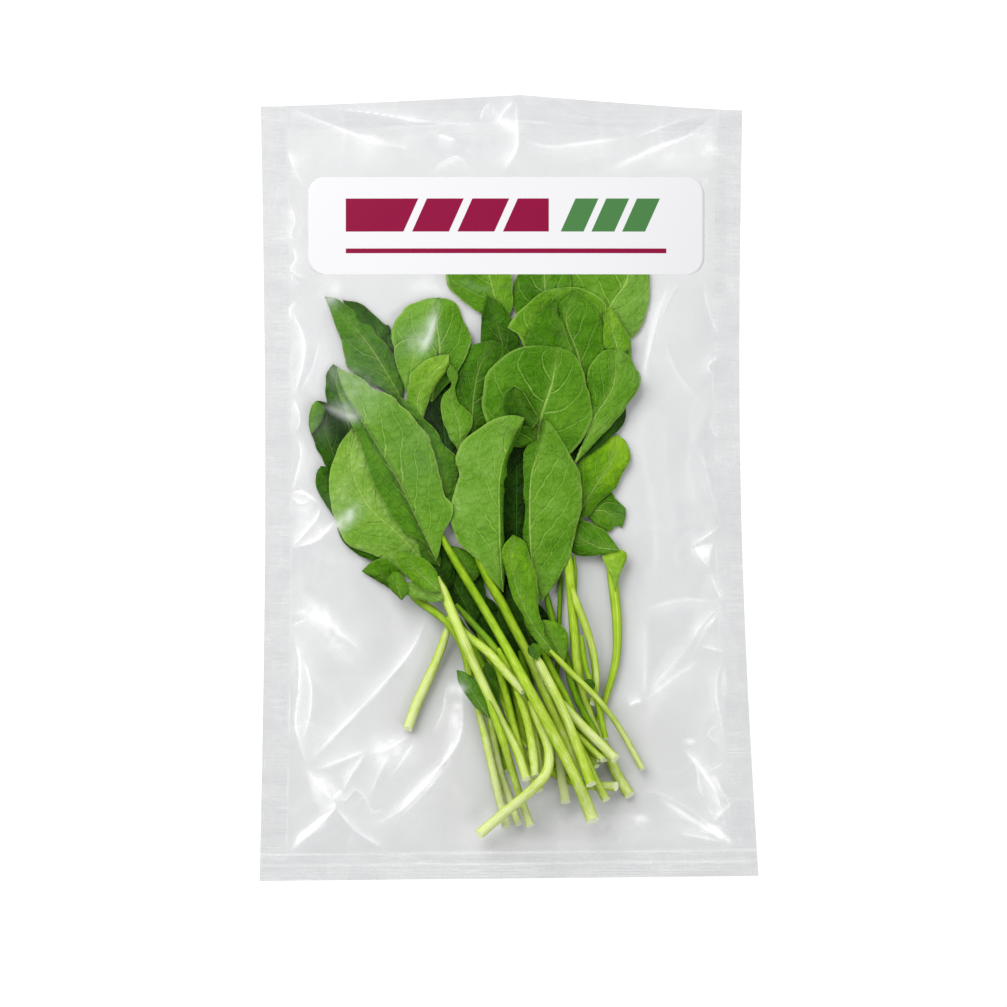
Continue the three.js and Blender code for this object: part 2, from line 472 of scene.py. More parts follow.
class Film:
    """The pouch's shape: where a share of its width and height lies, and how high the films are there."""

    def __init__(self):
        size = OUTLINE
        self.bottom_left = (size["left"], size["bottom"])
        self.bottom_right = (size["left"] + size["bottom_width"], size["bottom"] + size["bottom_rise"])
        self.top_left = (size["left"] + size["top_inset"], size["bottom"] + size["left_height"])
        top_right = self.top_left[0] + size["top_width"]
        self.top_right = (top_right, self.bottom_right[1] + size["right_height"])

    def left_edge(self, t):
        bow = OUTLINE["left_waist"] * np.sin(np.pi * t)
        return mix(self.bottom_left[0], self.top_left[0], t) + bow

    def right_edge(self, t):
        bow = OUTLINE["right_waist"] * np.sin(np.pi * t)
        return mix(self.bottom_right[0], self.top_right[0], t) - bow

    def bottom_edge(self, s):
        return mix(self.bottom_left[1], self.bottom_right[1], s)

    def top_edge(self, s):
        place = OUTLINE["top_peak_place"]
        rise = np.where(s < place, s / place, (1 - s) / (1 - place))
        peak = OUTLINE["top_peak"] * np.clip(rise, 0, 1) ** OUTLINE["top_peak_sharpness"]
        return mix(self.top_left[1], self.top_right[1], s) + peak

    def place(self, s, t):
        x = mix(self.left_edge(t), self.right_edge(t), s)
        y = mix(self.bottom_edge(s), self.top_edge(s), t)
        return x, y

    def shares(self, x, y):
        """The share of the width and of the height at a place on the table."""
        s = np.full(np.shape(x), 0.5)
        t = np.full(np.shape(x), 0.5)
        for _ in range(6):
            s = (x - self.left_edge(t)) / (self.right_edge(t) - self.left_edge(t))
            t = (y - self.bottom_edge(s)) / (self.top_edge(s) - self.bottom_edge(s))
        return s, t

    def inside_welds(self, s, t):
        """How far a point is inside each inner weld line: left, right, bottom and top."""
        x, y = self.place(s, t)
        return (
            x - self.left_edge(t) - WELD["side"],
            self.right_edge(t) - x - WELD["side"],
            y - self.bottom_edge(s) - WELD["bottom"],
            self.top_edge(s) - y - WELD["top"],
        )

    def weld_height(self, s, t):
        between = np.maximum(np.sin(np.pi * s), np.sin(np.pi * t))
        x, y = self.place(s, t)
        wave = np.sin((x - y) * 2 * np.pi / WELD["wavelength"])
        return mix(WELD["corner_height"], WELD["height"], between) + WELD["wave"] * wave * between

    def puckers(self, s, t):
        """Small folds that run in from the welds."""
        x, y = self.place(s, t)
        total = 0
        runs = [(y, 1.0, 31.0), (y, -1.0, 31.0), (x, 0.7, 23.0), (x, 0.35, 23.0)]
        for (along, share, drift), inside in zip(runs, self.inside_welds(s, t)):
            turn = 2 * np.pi * along / PUCKER["spacing"] + 2 * np.sin(along / drift)
            grown = np.clip(inside / PUCKER["start"], 0, 1)
            fading = np.exp(-np.maximum(inside, 0) / PUCKER["reach"]) * grown
            total = total + PUCKER["height"] * share * np.sin(turn) * fading
        return total

    def away_from_label(self, x, y):
        across = np.abs(x - LABEL["x"]) - LABEL["width"] / 2
        along = np.abs(y - LABEL["y"]) - LABEL["height"] / 2
        return ease(np.maximum(across, along), 0, LABEL["flat_margin"])

    def blown(self, s, t):
        """0 on the welds and 1 where the film has its full height."""
        product = 1
        for inside in self.inside_welds(s, t):
            share = np.clip(inside / PILLOW["front_reach"], 0, 1)
            product = product * np.sin(share * np.pi / 2)
        return product

    def front(self, s, t):
        """Height of the smooth front film."""
        x, y = self.place(s, t)
        seam = self.weld_height(s, t) + WELD["thickness"] / 2
        contents = 0
        for mound in MOUNDS:
            angle = math.radians(mound.turn)
            aside, ahead = x - mound.x, y - mound.y
            u = (aside * math.cos(angle) + ahead * math.sin(angle)) / mound.across
            v = (ahead * math.cos(angle) - aside * math.sin(angle)) / mound.along
            contents = contents + mound.height * ease(1 - u * u - v * v, 0, 1)
        blown = self.blown(s, t)
        fullness = np.maximum(blown, 0) ** PILLOW["corner_fullness"]
        away = self.away_from_label(x, y)
        folds = self.puckers(s, t) * away * np.sqrt(np.maximum(blown, 0))
        free = seam + (PILLOW["air"] + contents - seam) * fullness + folds
        from_middle = np.minimum(np.abs(x - LABEL["x"]) / (LABEL["width"] / 2), 1)
        level = LABEL["level"] - LABEL["droop"] * from_middle**2.5
        return mix(free, level, (1 - away) * LABEL["flatness"])

    def back(self, s, t):
        """Height of the back film, which lies on the table inside the welds."""
        seam = self.weld_height(s, t) - WELD["thickness"] / 2
        nearest = np.minimum.reduce(self.inside_welds(s, t))
        swell = np.sin(np.clip(nearest / PILLOW["back_reach"], 0, 1) * np.pi / 2)
        return seam * (1 - swell)


FILM = Film()


class Run(NamedTuple):
    """A stretch of grid lines: its length in millimetres and how many cells it has."""

    length: float
    cells: int


def grid_lines(runs, total):
    """Shares of the total length at which grid lines lie. A stretch of length 0 takes the rest."""
    known = sum(run.length for run in runs if run.length)
    lines = [0.0]
    for run in runs:
        start = lines[-1]
        length = run.length or total - known
        lines.extend(start + length * (i + 1) / run.cells for i in range(run.cells))
    return np.array(lines) / total


# ------------------------------------------------------------------ what lies in the pouch


class Heap:
    """How high the things that are laid so far reach over the table, in a grid of small cells."""

    CELL = 0.8
    HALF_WIDTH = 92.0
    HALF_HEIGHT = 148.0
    LOWEST = 0.35  # the back film's height

    def __init__(self):
        columns = int(2 * self.HALF_WIDTH / self.CELL) + 1
        rows = int(2 * self.HALF_HEIGHT / self.CELL) + 1
        self.heights = np.full((columns, rows), self.LOWEST)

    def cells(self, x, y):
        column = np.rint((x + self.HALF_WIDTH) / self.CELL).astype(int)
        row = np.rint((y + self.HALF_HEIGHT) / self.CELL).astype(int)
        last_column, last_row = np.array(self.heights.shape) - 1
        return np.clip(column, 0, last_column), np.clip(row, 0, last_row)

    def support(self, x, y, reach=2, softness=3):
        """Height that a thing laid here rests on, with the steps under it rounded off."""
        soft = blurred(spread(self.heights, reach), softness)
        return self.sampled(soft, x, y)

    def sampled(self, field, x, y):
        """The field between its cells."""
        column = np.clip((x + self.HALF_WIDTH) / self.CELL, 0, field.shape[0] - 1.001)
        row = np.clip((y + self.HALF_HEIGHT) / self.CELL, 0, field.shape[1] - 1.001)
        left, below = column.astype(int), row.astype(int)
        across, up = column - left, row - below
        low = mix(field[left, below], field[left + 1, below], across)
        high = mix(field[left, below + 1], field[left + 1, below + 1], across)
        return mix(low, high, up)

    def lay(self, x, y, z):
        column, row = self.cells(np.ravel(x), np.ravel(y))
        np.maximum.at(self.heights, (column, row), np.ravel(z))


LEAF_CELL = 1.5  # millimetres between the lines of a leaf's grid
LEAF_ROWS = (12, 50)  # fewest and most
LEAF_COLUMNS = (8, 24)
LEAF_GAP = 0.25  # millimetres between a leaf and what it lies on
LEAF_SEAT = 0.7  # share of a leaf that keeps its own shape, while the rest is pushed up
VEIN_SPACING = 8.5  # millimetres between the side veins of a leaf
VEIN_COUNTS = (3.5, 6.5)  # fewest and most on each side
VEIN_SLANT = 0.34
VEIN_BEND = 0.10


class Leaf(NamedTuple):
    """A leaf as seen from above, in photo pixels, from its stalk to its tip.

    Left and right are as seen when looking from the stalk to the tip. Tone goes from 0, very dark, to 1,
    very pale, and is given for the left and the right half. It holds the leaf's own colour and painted
    light and shade: paler for a half that faces the light, darker for one that faces away or lies deep in
    shade. Bends are in millimetres, and up is positive.
    """

    name: str
    base: tuple
    tip: tuple
    left: list
    right: list
    rib: list = []
    tone: tuple = (0.5, 0.5)
    # On some leaves this darker base is painted shade falling on it.
    tip_tone: float = 0.0  # how much paler the tip is than the base
    lime: float = 0.0
    arch: float = 1.5  # rise of the middle over both ends
    fold: float = 0.0  # rise of the edges over the midrib
    curl: float = -1.0  # rise of the outermost edge
    ripple: float = 0.5
    veined: float = 1.0  # how clear its veins are
    # The pale rim is partly a paler margin and partly a painted highlight where the edge catches the light.
    rim: float = 0.42  # how pale its edge is
    # The groove is painted shade in the fold beside the midrib.
    groove: float = 0.0  # how dark the fold beside its midrib is
    seed: int = 0


class Stalk(NamedTuple):
    """A leaf stalk as seen from above, in photo pixels, from its leaf to its cut end."""

    name: str
    route: list
    start_width: float
    end_width: float
    # The darkest tones also stand in for the shade in the gaps of the bunch.
    tone: tuple = (0.35, 0.75)  # at the leaf and at the cut end: 0 deep green, 1 very pale


BUNCH = [
    # Very dark leaves that only show in the gaps between the others: painted shade in those gaps.
    Leaf("under_left", (450, 480), (436, 366), [(425, 450), (418, 400)], [(472, 440), (466, 385)],
         tone=(0.0, 0.03), arch=0),
    Leaf("under_right", (560, 470), (580, 425), [(555, 445), (562, 430)], [(582, 458), (592, 440)],
         tone=(0.08, 0.1), arch=0),
    Leaf("under_nodes", (505, 668), (466, 590), [(480, 645), (464, 615)], [(505, 630), (490, 600)],
         tone=(0.1, 0.06), arch=0),
    Leaf("under_front", (516, 575), (517, 425), [(497, 520), (500, 460)], [(540, 520), (537, 450)],
         tone=(0.1, 0.06), arch=0),
    Leaf("under_back", (505, 480), (480, 385), [(468, 450), (455, 415)], [(530, 440), (510, 400)],
         tone=(0.03, 0.05), arch=0),
    Leaf("under_stalks", (475, 625), (430, 535), [(440, 590), (425, 560)], [(487, 590), (465, 555)],
         tone=(0.1, 0.14), arch=0),
    Leaf("under_curl", (545, 675), (505, 575), [(508, 640), (497, 605)], [(556, 640), (535, 600)],
         tone=(0.14, 0.1), arch=0),
    # Leaves under the label and behind the crown.
    Leaf("back_right", (598, 350), (622, 232), [(578, 322), (566, 292), (571, 260), (592, 238)],
         [(633, 336), (648, 308), (650, 280), (646, 252), (636, 238)], [(611, 305), (628, 278)],
         (0.6, 0.72), 0.05, curl=-1.5, seed=3),
    Leaf("back_middle", (548, 340), (542, 238), [(520, 322), (510, 300), (513, 284), (526, 258)],
         [(570, 318), (572, 285), (565, 252)], [], (0.4, 0.46), seed=4),
    Leaf("back_left", (503, 330), (474, 236), [(484, 316), (460, 299), (447, 280), (452, 255)],
         [(512, 308), (512, 288), (506, 262), (492, 243)], [(496, 300), (487, 268)], (0.47, 0.54), lime=0.2,
         ripple=0.9, rim=0.6, seed=5, fold=0.06),
    Leaf("pointed", (515, 385), (488, 296), [(488, 370), (480, 340), (482, 315)],
         [(523, 352), (519, 336), (509, 316), (500, 303)], [(503, 345), (494, 315)], (0.22, 0.25), seed=6,
         fold=0.08),
    # Stalks that start under the leaves on the right.
    Stalk("right_outer", [(610, 545), (613, 580), (617, 620), (616, 660), (605, 700), (597, 724)], 9, 5.5,
         (0.65, 0.6)),
    Leaf("stalk_foot", (615, 592), (613, 548), [(611, 574), (604, 557)], [(619, 574), (626, 553)], [],
         (0.78, 0.74), lime=0.6, arch=0.4, veined=0.2, seed=51),
    Leaf("right_low", (585, 512), (622, 528), [(597, 496), (609, 489), (616, 500), (625, 509), (625, 519)],
         [(596, 526), (609, 531), (617, 525)], [(605, 511)], (0.42, 0.5), seed=7, arch=0.8),
    Leaf("right_flat", (619, 550), (570, 536), [(606, 554), (596, 555), (580, 556), (571, 553)],
         [(614, 542), (606, 533), (595, 526), (584, 520), (577, 520)], [(600, 548), (586, 541)],
         (0.4, 0.45), seed=8, arch=0.8),
    Leaf("lime", (574, 524), (617, 435), [(572, 490), (576, 466), (587, 454), (600, 442)],
         [(592, 512), (604, 497), (615, 488), (621, 475), (628, 464), (629, 450), (624, 440)],
         [(594, 488), (612, 460)], (0.39, 0.46), 0.42, lime=0.8, seed=9),
    Stalk("right_back", [(561, 570), (559, 624), (557, 676)], 4, 4, (0.2, 0.3)),
    Stalk("right_twin", [(574, 555), (575, 580), (574, 604)], 4, 4, (0.4, 0.45)),
    Stalk("right_thin", [(546, 590), (550, 610), (557, 632), (566, 656), (574, 680)], 6, 6, (0.15, 0.3)),
    Stalk("right_long",
         [(566, 548), (569, 566), (572, 600), (576, 650), (581, 685), (590, 717), (606, 750), (618, 776),
          (631, 797)], 8, 8.5, (0.6, 0.95)),
    Stalk("right_curved", [(572, 588), (577, 604), (585, 624), (593, 652), (596, 680), (593, 705)], 6.5, 6,
         (0.8, 0.85)),
    # The crown of large leaves.
    Leaf("crown_back", (590, 398), (556, 288),
         [(560, 392), (538, 372), (525, 348), (519, 334), (508, 328), (513, 319), (520, 310), (532, 299),
          (543, 292)],
         [(625, 385), (632, 360), (632, 340), (623, 326), (616, 320), (611, 309), (603, 300), (592, 293),
          (576, 287)], [(575, 352), (560, 312)], (0.54, 0.53), 0.06, lime=0.12, arch=2.4, curl=-1.6,
         seed=11),
    Leaf("crown_large", (588, 396), (577, 291),
         [(556, 380), (538, 360), (532, 340), (541, 318), (557, 299)],
         [(607, 376), (605, 348), (602, 324), (592, 306)], [(578, 354), (566, 318)], (0.44, 0.42), 0.04,
         arch=2, curl=-0.7, rim=0.2, seed=50),
    Leaf("crown_shade", (579, 374), (555, 299),
         [(556, 378), (541, 362), (526, 340), (531, 328), (536, 316), (545, 307)], [(574, 350), (563, 322)],
         tone=(0.37, 0.42), arch=0.3, curl=0, veined=0.4, rim=0.15, seed=55),
    Leaf("crown_lit", (620, 357), (606, 305), [(607, 352), (603, 332)],
         [(632, 345), (624, 328), (616, 315)], [(612, 330)], (0.5, 0.56), lime=0.3, arch=0.3, curl=0,
         seed=12),
    Leaf("middle", (472, 440), (492, 340), [(461, 420), (455, 398), (456, 378), (463, 358), (472, 345)],
         [(505, 410), (515, 372), (508, 348)], [(473, 400), (479, 368)], (0.32, 0.28), seed=14),
    Leaf("right_shadow", (582, 458), (626, 400), [(598, 430), (612, 412)], [(600, 448), (622, 425)],
         tone=(0.1, 0.1), arch=0.4),
    Leaf("right_large", (573, 466), (615, 350),
         [(583, 448), (586, 425), (587, 395), (588, 372), (594, 359), (604, 351)],
         [(590, 447), (602, 436), (616, 421), (628, 405), (637, 390), (640, 379), (635, 364), (627, 354)],
         [(594, 418), (613, 386)], (0.46, 0.62), 0.05, arch=2.5, curl=-1.6, seed=15),
    Leaf("crown_round", (536, 448), (557, 347),
         [(505, 444), (490, 430), (483, 412), (482, 392), (484, 379), (491, 366), (503, 356), (518, 349),
          (538, 346)],
         [(562, 458), (580, 443), (590, 426), (593, 410), (591, 394), (586, 385), (583, 374), (579, 363),
          (573, 355), (566, 350)], [(541, 418), (553, 380)], (0.46, 0.52), arch=3.5, curl=-2.2, seed=16),
    Leaf("crown_curl", (532, 428), (514, 386), [(512, 424), (503, 408), (504, 394)],
         [(538, 418), (530, 402), (524, 391)], [(520, 405)], (0.16, 0.28), arch=-0.6, curl=1.4, lime=0.2,
         veined=0.3, rim=0.8, seed=17),
    # The left side.
    Leaf("left_behind", (400, 378), (343, 300), [(374, 355), (350, 322)],
         [(398, 352), (392, 334), (391, 325), (384, 323), (371, 312), (358, 303)], [], (0.24, 0.2),
         seed=20),
    Leaf("left_bluish", (402, 400), (325, 297),
         [(387, 394), (375, 386), (355, 376), (346, 366), (343, 350), (338, 332), (334, 318), (328, 304)],
         [(404, 387), (399, 372), (394, 357), (388, 347), (377, 336), (372, 327), (360, 321), (356, 312),
          (345, 305), (335, 299)], [(374, 352), (347, 318)], (0.40, 0.36), 0.06, curl=-1, seed=21),
    Leaf("left_scrap", (400, 356), (397, 328), [(387, 345), (389, 334)], [(408, 345), (405, 334)],
         tone=(0.2, 0.25), arch=0.5, seed=22),
    Leaf("left_glossy", (432, 402), (438, 298),
         [(404, 385), (398, 352), (392, 340), (392, 327), (395, 319), (402, 313), (406, 306), (414, 303),
          (426, 299)], [(458, 372), (471, 343), (466, 325), (458, 304), (450, 299)],
         [(440, 352), (437, 322)], (0.62, 0.50), 0.3, arch=2.5, curl=-1.8, groove=0.12, seed=23),
    Leaf("left_flap", (407, 393), (420, 339), [(400, 375), (395, 358), (393, 347), (400, 341), (410, 338)],
         [(424, 370), (438, 354), (432, 343)], [(412, 362)], (0.6, 0.64), arch=1.2, curl=-0.6, veined=0.5,
         rim=0.8, seed=24),
    Leaf("left_pale", (423, 419), (449, 354),
         [(411, 412), (407, 398), (412, 385), (412, 377), (417, 369), (426, 361), (440, 356)],
         [(427, 402), (432, 390), (439, 380), (447, 366)], [(417, 400), (430, 376)], (0.63, 0.73), 0.24,
         lime=0.3, arch=1.6, seed=25),
    Leaf("left_strip", (450, 520), (398, 395), [(412, 480), (390, 430)],
         [(457, 482), (456, 457), (444, 446), (431, 426), (414, 408)], [(440, 480), (420, 430)],
         (0.36, 0.44), seed=26),
    Leaf("curled", (460, 455), (450, 364),
         [(450, 436), (444, 420), (442, 407), (445, 395), (452, 385), (447, 374)],
         [(467, 437), (472, 415), (458, 403), (455, 388), (458, 374)], [(459, 425), (450, 398), (454, 380)],
         (0.64, 0.56), arch=1, curl=-1, groove=0.1, rim=0.6, seed=27),
    Leaf("left_sliver", (352, 440), (333, 364), [(328, 412), (326, 392), (328, 373)],
         [(362, 415), (348, 378)], tone=(0.22, 0.2), seed=28),
    Leaf("left_dark", (345, 485), (316, 401), [(326, 466), (314, 444), (310, 424), (311, 409)],
         [(352, 445), (338, 412), (324, 402)], [(328, 440)], (0.18, 0.12), seed=29),
    Leaf("left_lobe", (312, 434), (317, 401), [(309, 420), (311, 406)], [(322, 422), (325, 408)],
         tone=(0.5, 0.36), arch=0.6, veined=0.3, rim=0.7, seed=30),
    Leaf("left_darkest", (350, 530), (321, 466), [(330, 512), (319, 490), (316, 475)],
         [(350, 495), (335, 470)], tone=(0.22, 0.12), seed=31),
    Leaf("left_rim", (402, 574), (337, 528), [(375, 562), (356, 552), (342, 541)], [(395, 540), (360, 515)],
         tone=(0.2, 0.2), arch=0.5, seed=32),
    Leaf("left_front", (424, 562), (353, 427),
         [(404, 575), (379, 557), (349, 545), (333, 512), (329, 478), (339, 447)],
         [(428, 540), (405, 505), (386, 465), (368, 434)], [(399, 534), (367, 504), (350, 462)],
         (0.76, 0.8), 0.06, lime=0.12, arch=2.5, curl=-1.5, seed=33),
    Leaf("node_left", (428, 600), (440, 556), [(427, 582), (430, 566)], [(450, 588), (452, 566)],
         tone=(0.2, 0.14), arch=0.4, seed=38),
    Leaf("dark_left", (440, 566), (418, 538), [(424, 562), (418, 550)], [(438, 552), (430, 542)],
         tone=(0.3, 0.34), arch=0.5, seed=40),
    # Stalks, from the lowest.
    # A very dark leaf that paints the shade under the stalks.
    Leaf("under_middle", (520, 700), (478, 622), [(500, 690), (484, 655)], [(528, 670), (505, 632)],
         tone=(0.1, 0.06), arch=0),
    # Filler stalks, dark at their leaf ends, that fill the gaps and stand in for the shade there.
    Stalk("fill_a", [(472, 640), (485, 685), (498, 730), (508, 772)], 6, 6, (0.15, 0.5)),
    Stalk("fill_b", [(500, 660), (512, 700), (519, 740), (527, 777)], 6, 6.5, (0.15, 0.5)),
    Stalk("fill_c", [(520, 650), (533, 700), (546, 745), (554, 772)], 7, 7, (0.15, 0.45)),
    Stalk("fill_d", [(548, 660), (562, 700), (578, 740), (588, 770)], 7, 7, (0.2, 0.5)),
    Stalk("fill_e", [(566, 668), (580, 705), (596, 735), (605, 762)], 6, 6, (0.2, 0.5)),
    Stalk("fill_f", [(508, 700), (516, 740), (530, 782)], 7, 7, (0.4, 0.7)),
    Stalk("fill_g", [(452, 610), (470, 640), (488, 672), (505, 700)], 6, 6, (0.25, 0.5)),
    Stalk("fill_h", [(478, 632), (492, 664), (508, 702), (524, 740), (536, 770)], 6, 6, (0.4, 0.8)),
    Stalk("fill_i", [(536, 668), (548, 700), (556, 735), (572, 776)], 6.5, 7, (0.5, 0.85)),
    Stalk("fill_j", [(560, 690), (572, 716), (584, 742), (597, 768)], 6, 6.5, (0.45, 0.8)),
    Stalk("bottom_cross", [(540, 764), (560, 776), (583, 784), (618, 786)], 7, 8, (0.6, 0.95)),
    Stalk("low_a", [(545, 650), (553, 690), (557, 730), (560, 765), (566, 804)], 6, 8, (0.6, 1.3)),
    Stalk("low_b", [(482, 668), (488, 700), (493, 733), (500, 770), (509, 796), (519, 826)], 6.5, 7,
         (0.75, 1.15)),
    Stalk("low_c", [(497, 647), (506, 665), (517, 704), (525, 740), (534, 775)], 5, 6, (0.4, 0.8)),
    Stalk("low_d", [(488, 650), (494, 675), (505, 706), (517, 734), (527, 748)], 5, 5, (0.5, 0.75)),
    Stalk("low_e", [(540, 640), (552, 670), (566, 697), (585, 740), (601, 760)], 6, 7, (0.35, 0.75)),
    Stalk("low_f", [(492, 652), (505, 690), (516, 733), (526, 765), (541, 792)], 6, 7, (0.45, 0.95)),
    Stalk("low_g", [(581, 635), (586, 668), (597, 700), (606, 740)], 5, 5, (0.45, 0.6)),
    Stalk("left_stub", [(450, 622), (440, 652), (428, 680), (417, 704), (407, 731)], 7.5, 8.5, (0.9, 1.1)),
    Stalk("left_long",
         [(406, 586), (417, 599), (445, 620), (462, 644), (471, 680), (484, 730), (495, 778), (507, 828)],
         6.5, 7, (0.45, 1.25)),
    Leaf("tiny_dark", (496, 718), (487, 661), [(486, 700), (481, 674)], [(499, 700), (493, 672)],
         tone=(0.28, 0.24), arch=0.5, seed=35),
    Leaf("tiny_front", (490, 718), (457, 670), [(473, 705), (460, 686)],
         [(487, 698), (479, 681), (467, 672)], tone=(0.42, 0.45), arch=0.6, seed=36),
    Stalk("inner_a", [(456, 604), (472, 622), (495, 648), (513, 681), (531, 714), (540, 750), (545, 778)],
         6, 6.5, (0.25, 0.95)),
    Stalk("inner_c", [(498, 648), (512, 676), (523, 700), (531, 722), (537, 750), (541, 782)], 7, 8,
         (0.6, 1)),
    Stalk("inner_d", [(516, 690), (525, 712), (531, 738), (536, 778)], 7, 7.5, (0.7, 1)),
    Stalk("inner_b", [(448, 616), (466, 634), (490, 653), (508, 674), (525, 692)], 7, 7.5, (0.7, 1.0)),
    Stalk("left_second",
         [(437, 577), (444, 592), (459, 628), (476, 667), (501, 720), (517, 750), (527, 780)], 8, 7.5,
         (0.88, 0.9)),
    Stalk("low_h", [(488, 700), (499, 728), (510, 762), (520, 795), (531, 827)], 6, 7, (0.6, 1.0)),
    Stalk("curved", [(530, 700), (540, 724), (549, 750), (547, 771), (532, 789), (505, 812), (477, 836)], 8,
         9, (0.85, 1.1)),
    Stalk("right_short", [(572, 728), (585, 742), (604, 760)], 6, 6, (0.7, 0.85)),
    Stalk("right_pale", [(552, 694), (566, 708), (581, 724), (597, 740), (617, 760)], 8, 8.5, (0.9, 1.05)),
    Stalk("right_end", [(572, 732), (585, 757), (597, 783), (607, 801)], 7, 7, (0.65, 0.85)),
    Leaf("node_scrap", (472, 583), (454, 546), [(460, 572), (452, 557)],
         [(480, 574), (480, 561), (466, 551)], tone=(0.48, 0.34), lime=0.3, arch=0.8, seed=39),
    # Small leaves low on the left.
    Leaf("small_a", (396, 592), (362, 571), [(386, 583), (373, 577)], [(400, 570), (386, 557), (371, 562)],
         tone=(0.3, 0.34), lime=0.35, arch=0.8, seed=41),
    Leaf("small_pale", (443, 601), (404, 583), [(430, 602), (414, 598), (405, 594)],
         [(443, 592), (430, 586), (415, 582)], tone=(0.72, 0.76), arch=0.6, seed=42),
    Leaf("small_round", (402, 600), (393, 572), [(390, 590), (387, 580)],
         [(409, 592), (407, 580), (401, 573)], tone=(0.36, 0.42), lime=0.5, arch=1, seed=43),
    Leaf("small_bright", (440, 592), (397, 553), [(421, 588), (407, 578), (399, 565)],
         [(437, 574), (426, 559), (410, 553)], [(420, 573)], (0.46, 0.50), lime=0.4, arch=1.4, seed=44),
    # The front of the bunch.
    Stalk("inner_right",
         [(474, 546), (482, 564), (490, 582), (502, 603), (512, 623), (530, 658), (548, 700), (566, 740),
          (584, 778)], 8, 8.5, (0.44, 0.9)),
    Leaf("front_middle", (503, 592), (525, 418),
         [(491, 577), (480, 562), (469, 554), (459, 545), (453, 532), (450, 518), (452, 502), (456, 488),
          (458, 472), (456, 458), (461, 447), (469, 437), (479, 429), (490, 421), (502, 416), (514, 415)],
         [(506, 560), (504, 520), (504, 480), (508, 458), (517, 438)],
         [(501, 560), (500, 520), (500, 480), (505, 456), (514, 436)], (0.7, 0.36), 0.05, arch=3, curl=-1.5,
         seed=46),
    Leaf("front_right", (541, 602), (545, 419),
         [(530, 570), (523, 530), (525, 500), (525, 475), (523, 452), (527, 446), (538, 439)],
         [(553, 586), (562, 572), (569, 558), (576, 532), (581, 510), (581, 486), (577, 468), (570, 455),
          (562, 440), (553, 427)], [(532, 565), (529, 520), (531, 475), (540, 446)], (0.44, 0.62), 0.02,
         arch=3, curl=-1.5, seed=47),
    Leaf("behind_curl", (564, 662), (542, 620), [(553, 655), (541, 636)],
         [(568, 648), (568, 636), (560, 624), (550, 620)], [(552, 638)], (0.40, 0.56), lime=0.3, arch=0.8,
         seed=48),
    Stalk("pale_right", [(534, 652), (546, 676), (560, 703), (575, 740), (592, 786)], 8, 9, (0.92, 0.72)),
    Leaf("small_front", (562, 664), (513, 535), [(538, 643), (520, 611), (508, 578), (502, 550)],
         [(543, 630), (538, 596), (532, 560), (524, 541)], [(529, 618), (514, 580), (510, 553)],
         (0.52, 0.48), lime=0.35, arch=1.6, fold=0.05, seed=49),
    Stalk("front",
         [(428, 512), (438, 530), (455, 560), (481, 603), (507, 648), (532, 694), (560, 746), (580, 787),
          (594, 823)], 6, 10.5, (0.42, 0.94)),
    Leaf("curl_node", (537, 660), (534, 643), [(529, 654), (528, 647)], [(541, 653), (540, 646)],
         tone=(0.26, 0.34), lime=0.4, arch=0.8, veined=0.2, seed=56),
    Leaf("low_node", (592, 690), (587, 679), [(585, 687), (584, 682)], [(595, 685), (592, 680)],
         tone=(0.22, 0.26), arch=0.5, veined=0.2, seed=57),
    Stalk("thin_front", [(550, 650), (570, 671), (598, 699), (619, 727), (643, 770)], 5, 5, (0.75, 1.0)),
    Leaf("front_left", (436, 562), (337, 368),
         [(420, 540), (407, 535), (395, 520), (385, 505), (375, 487), (365, 462), (357, 438), (350, 422),
          (344, 407), (339, 394), (336, 380)],
         [(441, 545), (443, 533), (450, 520), (453, 505), (445, 495), (442, 480), (439, 462), (432, 450),
          (431, 438), (424, 427), (414, 416), (401, 404), (388, 393), (374, 389), (362, 379), (347, 372)],
         [(422, 530), (410, 505), (398, 480), (378, 447), (358, 415), (343, 390)], (0.44, 0.64), 0.1,
         arch=3, fold=0.1, curl=-1.6, groove=0.34, seed=45),
]


def vein_turns(along, across, veins):
    """Counts side veins along a leaf: it is a whole number on each side vein."""
    side = np.abs(across)
    start = along - VEIN_SLANT * side - VEIN_BEND * side**2
    return start * veins + np.where(across > 0, 0.5, 0.0)


def leaf_relief(leaf, along, across, width, length, veins):
    """Height of a leaf's own shape, in millimetres."""
    side = np.abs(across)
    height = leaf.arch * np.sin(np.pi * along)
    height = height + leaf.fold * width * side + leaf.curl * side**4
    waves = np.sin(2 * np.pi * (2.3 * along + 0.17 * leaf.seed) + across)
    waves = waves + 0.6 * np.sin(2 * np.pi * (4.1 * along + 0.31 * leaf.seed) - 2 * across)
    height = height + leaf.ripple * waves * side**2
    quilt = np.cos(2 * np.pi * vein_turns(along, across, veins))
    inside = ease(side, 0.02, 0.3) * ease(1 - side, 0.0, 0.25) * np.sin(np.pi * along) ** 0.5
    height = height - 0.34 * quilt * inside
    bumps = unevenness(along * length, across * width / 2, 9.0, 300 + leaf.seed)
    height = height + 0.75 * bumps * np.sqrt(side)
    return height - 0.4 * np.exp(-((side / 0.07) ** 2))


def leaf_outline(leaf, rows):
    """The left edge, the midrib and the right edge of a leaf, with one place for each row of its grid."""
    lines = []
    for inner in (leaf.left, leaf.rib, leaf.right):
        lines.append(curve_through(on_table([leaf.base, *inner, leaf.tip]), rows + 1))
    return lines


